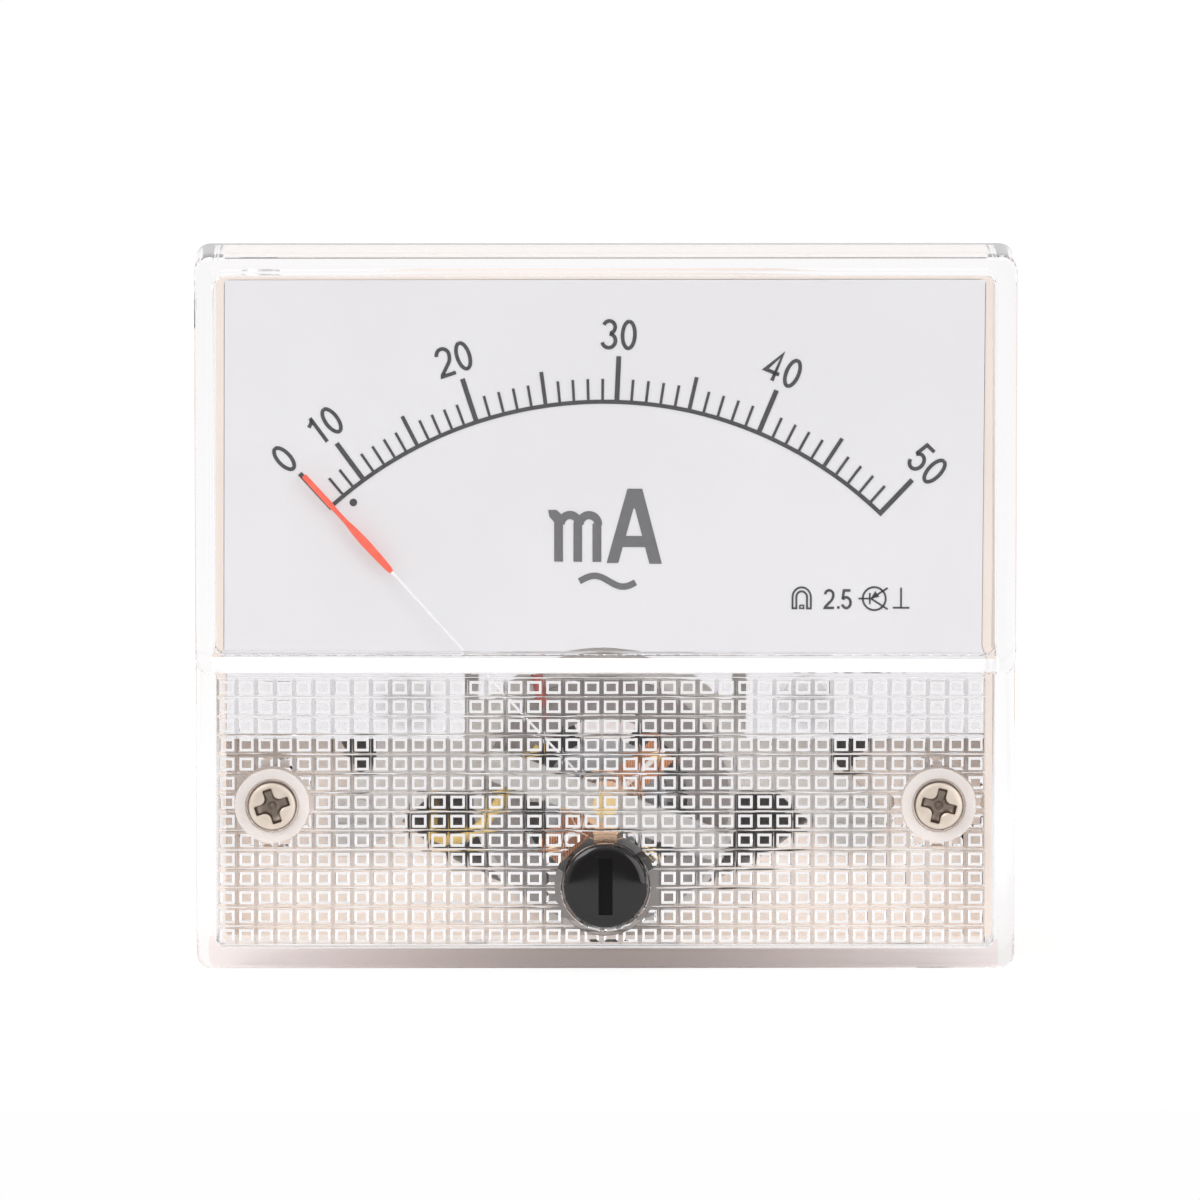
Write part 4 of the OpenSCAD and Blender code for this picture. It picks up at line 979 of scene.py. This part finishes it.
cuts += [turned([(button_hole_r + 0.15, -face_d - 0.01), (button_hole_r, -face_d + 0.15),
                 (button_hole_r, -face_d + 1.3)], 0, axis_z, 80),
         turned([(stem_hole_r, -12), (stem_hole_r, -6)], 0, axis_z, 40)]
shell = worked(shell, "DIFFERENCE", bevel, *cuts)
clear_tint = (0.992, 0.988, 0.995)
cover = piece("clear_cover", shell, clear_plastic("clear_plastic", clear_tint), "meter",
              "clear_plastic", "front_cover", crease=22)
boss_finish, shaded_groove_finish, shaded_skirt_finish = 1, 2, 3
cover.data.materials.append(clear_plastic("clouded_boss", clear_tint, 0.6))
# Painted shade: the narrow upright grooves between pad columns are tinted grey so that they read darker.
cover.data.materials.append(clear_plastic("groove_painted_shade", (0.66, 0.65, 0.665)))
# Painted shadow and reflection of the table on the foot of the lower wall: dark in the middle of its width
# and paler towards the ends.
cover.data.materials.append(clear_plastic("skirt_painted_shadow", (0.93, 0.78, 0.78), middle=(0.29, 0.205, 0.185)))
for face in cover.data.polygons:
    if abs(face.normal.y) > 0.9:
        corners = [cover.data.vertices[v].co / MM for v in face.vertices]
        reach_x, reach_z = (max(c[i] for c in corners) - min(c[i] for c in corners) for i in (0, 2))
        y = face.center.y / MM
        if abs(y - boss_y) < 0.004:
            face.material_index = boss_finish
        # the narrow upright grooves between pad columns take the painted grey shade
        elif reach_x < 0.2 < reach_z < 2 and -0.01 < y + inner_d < 0.04:
            face.material_index = shaded_groove_finish
        # the foot of the lower wall gets the painted shadow
        elif -0.1 < y < -0.01:
            face.material_index = shaded_skirt_finish


# ---- Cover screws ----
# Two nickelled cross-head screws sit in the smooth bosses of the cover and pull it onto the tray.
# Their recesses are painted dark down the sides as shade, and were left at different angles.
def nickel_with_painted_recess_shade(name, head_y):
    """Warm nickel, dull from handling, with painted shade down in the recess that is a little lighter on its
    floor.
    """
    f = Finish(name)
    clouds, marks = f.noise(1.1, 4), f.noise(0.14, 4, 0.7)
    below = f.axis("Y") / MM - head_y
    # Painted shade: dark from just below the top of the recess, a little lighter on its floor, and none on
    # the shank.
    recess_shade = below.above(0.12, 0.05) * (1 - below.above(0.6, 0.05) * 0.3) - below.above(1.15, 0.04)
    tone = f.blend(clouds.above(0.5, 0.3), (0.72, 0.62, 0.52), (0.81, 0.71, 0.62))
    return f.solid(Base_Color=f.blend(recess_shade, tone, (0.10, 0.062, 0.045)), Metallic=0.55,
                   Roughness=marks * 0.16 + clouds * 0.1 + 0.3, Normal=f.bump(marks, 0.005))


def cross_outline(reach, half, inner, steps=7):
    """A four-armed recess whose arms flare in a hollow curve towards the middle."""
    points = []
    for quarter in range(4):
        a = math.pi / 2 * quarter
        c, s = math.cos(a), math.sin(a)
        arm = [(reach - 0.06, -half), (reach, -half + 0.07), (reach, half - 0.07), (reach - 0.06, half)]
        arm += [(half + inner * (1 - math.sin(t)), half + inner * (1 - math.cos(t)))
                for t in [math.pi / 2 * k / steps for k in range(steps + 1)]]
        points += [(c * u - s * v, s * u + c * v) for u, v in arm]
    return points


head_r, shank_r = 1.925, 1.25
for m, node, turn in zip(screw_mid, ("cover_screw_left", "cover_screw_right"), (-18, 14)):
    low, high = box_mm(node)
    top, seat = low.y, low.y + 1.2
    head = turned([(0.001, top), (1.3, top + 0.015), (1.68, top + 0.05), (1.84, top + 0.13),
                   (1.91, top + 0.26), (head_r, top + 0.45), (head_r, seat), (shank_r, seat),
                   (shank_r, seat + 0.3), (0.001, seat + 0.32)], m.x, m.z, 72)
    rings = []
    for y, reach, half, inner in ((top - 0.3, 1.47, 0.45, 0.55), (top + 0.02, 1.46, 0.44, 0.55),
                                  (top + 0.11, 1.38, 0.36, 0.53), (top + 0.55, 1.25, 0.31, 0.50),
                                  (top + 0.66, 1.05, 0.27, 0.44), (top + 0.74, 0.80, 0.22, 0.32)):
        shape = cross_outline(reach, half, inner)
        s, c = math.sin(math.radians(turn)), math.cos(math.radians(turn))
        rings.append([(m.x + c * u + s * v, y, m.z - s * u + c * v) for u, v in shape])
    pit = turned([(0.42, top + 0.6), (0.36, top + 0.8), (0.16, top + 0.98), (0.001, top + 1.0)], m.x, m.z, 24)
    head = worked(head, "DIFFERENCE", lofted(rings), pit)
    shank = threaded(shank_r, 0.6, seat + 0.28, high.y, m.x, m.z, depth=0.4, sides=28, tip=0.4)
    piece(node + "_turned", merged(head, shank), nickel_with_painted_recess_shade(node + "_nickel", top), "meter",
          "nickel_screw", node, crease=30)
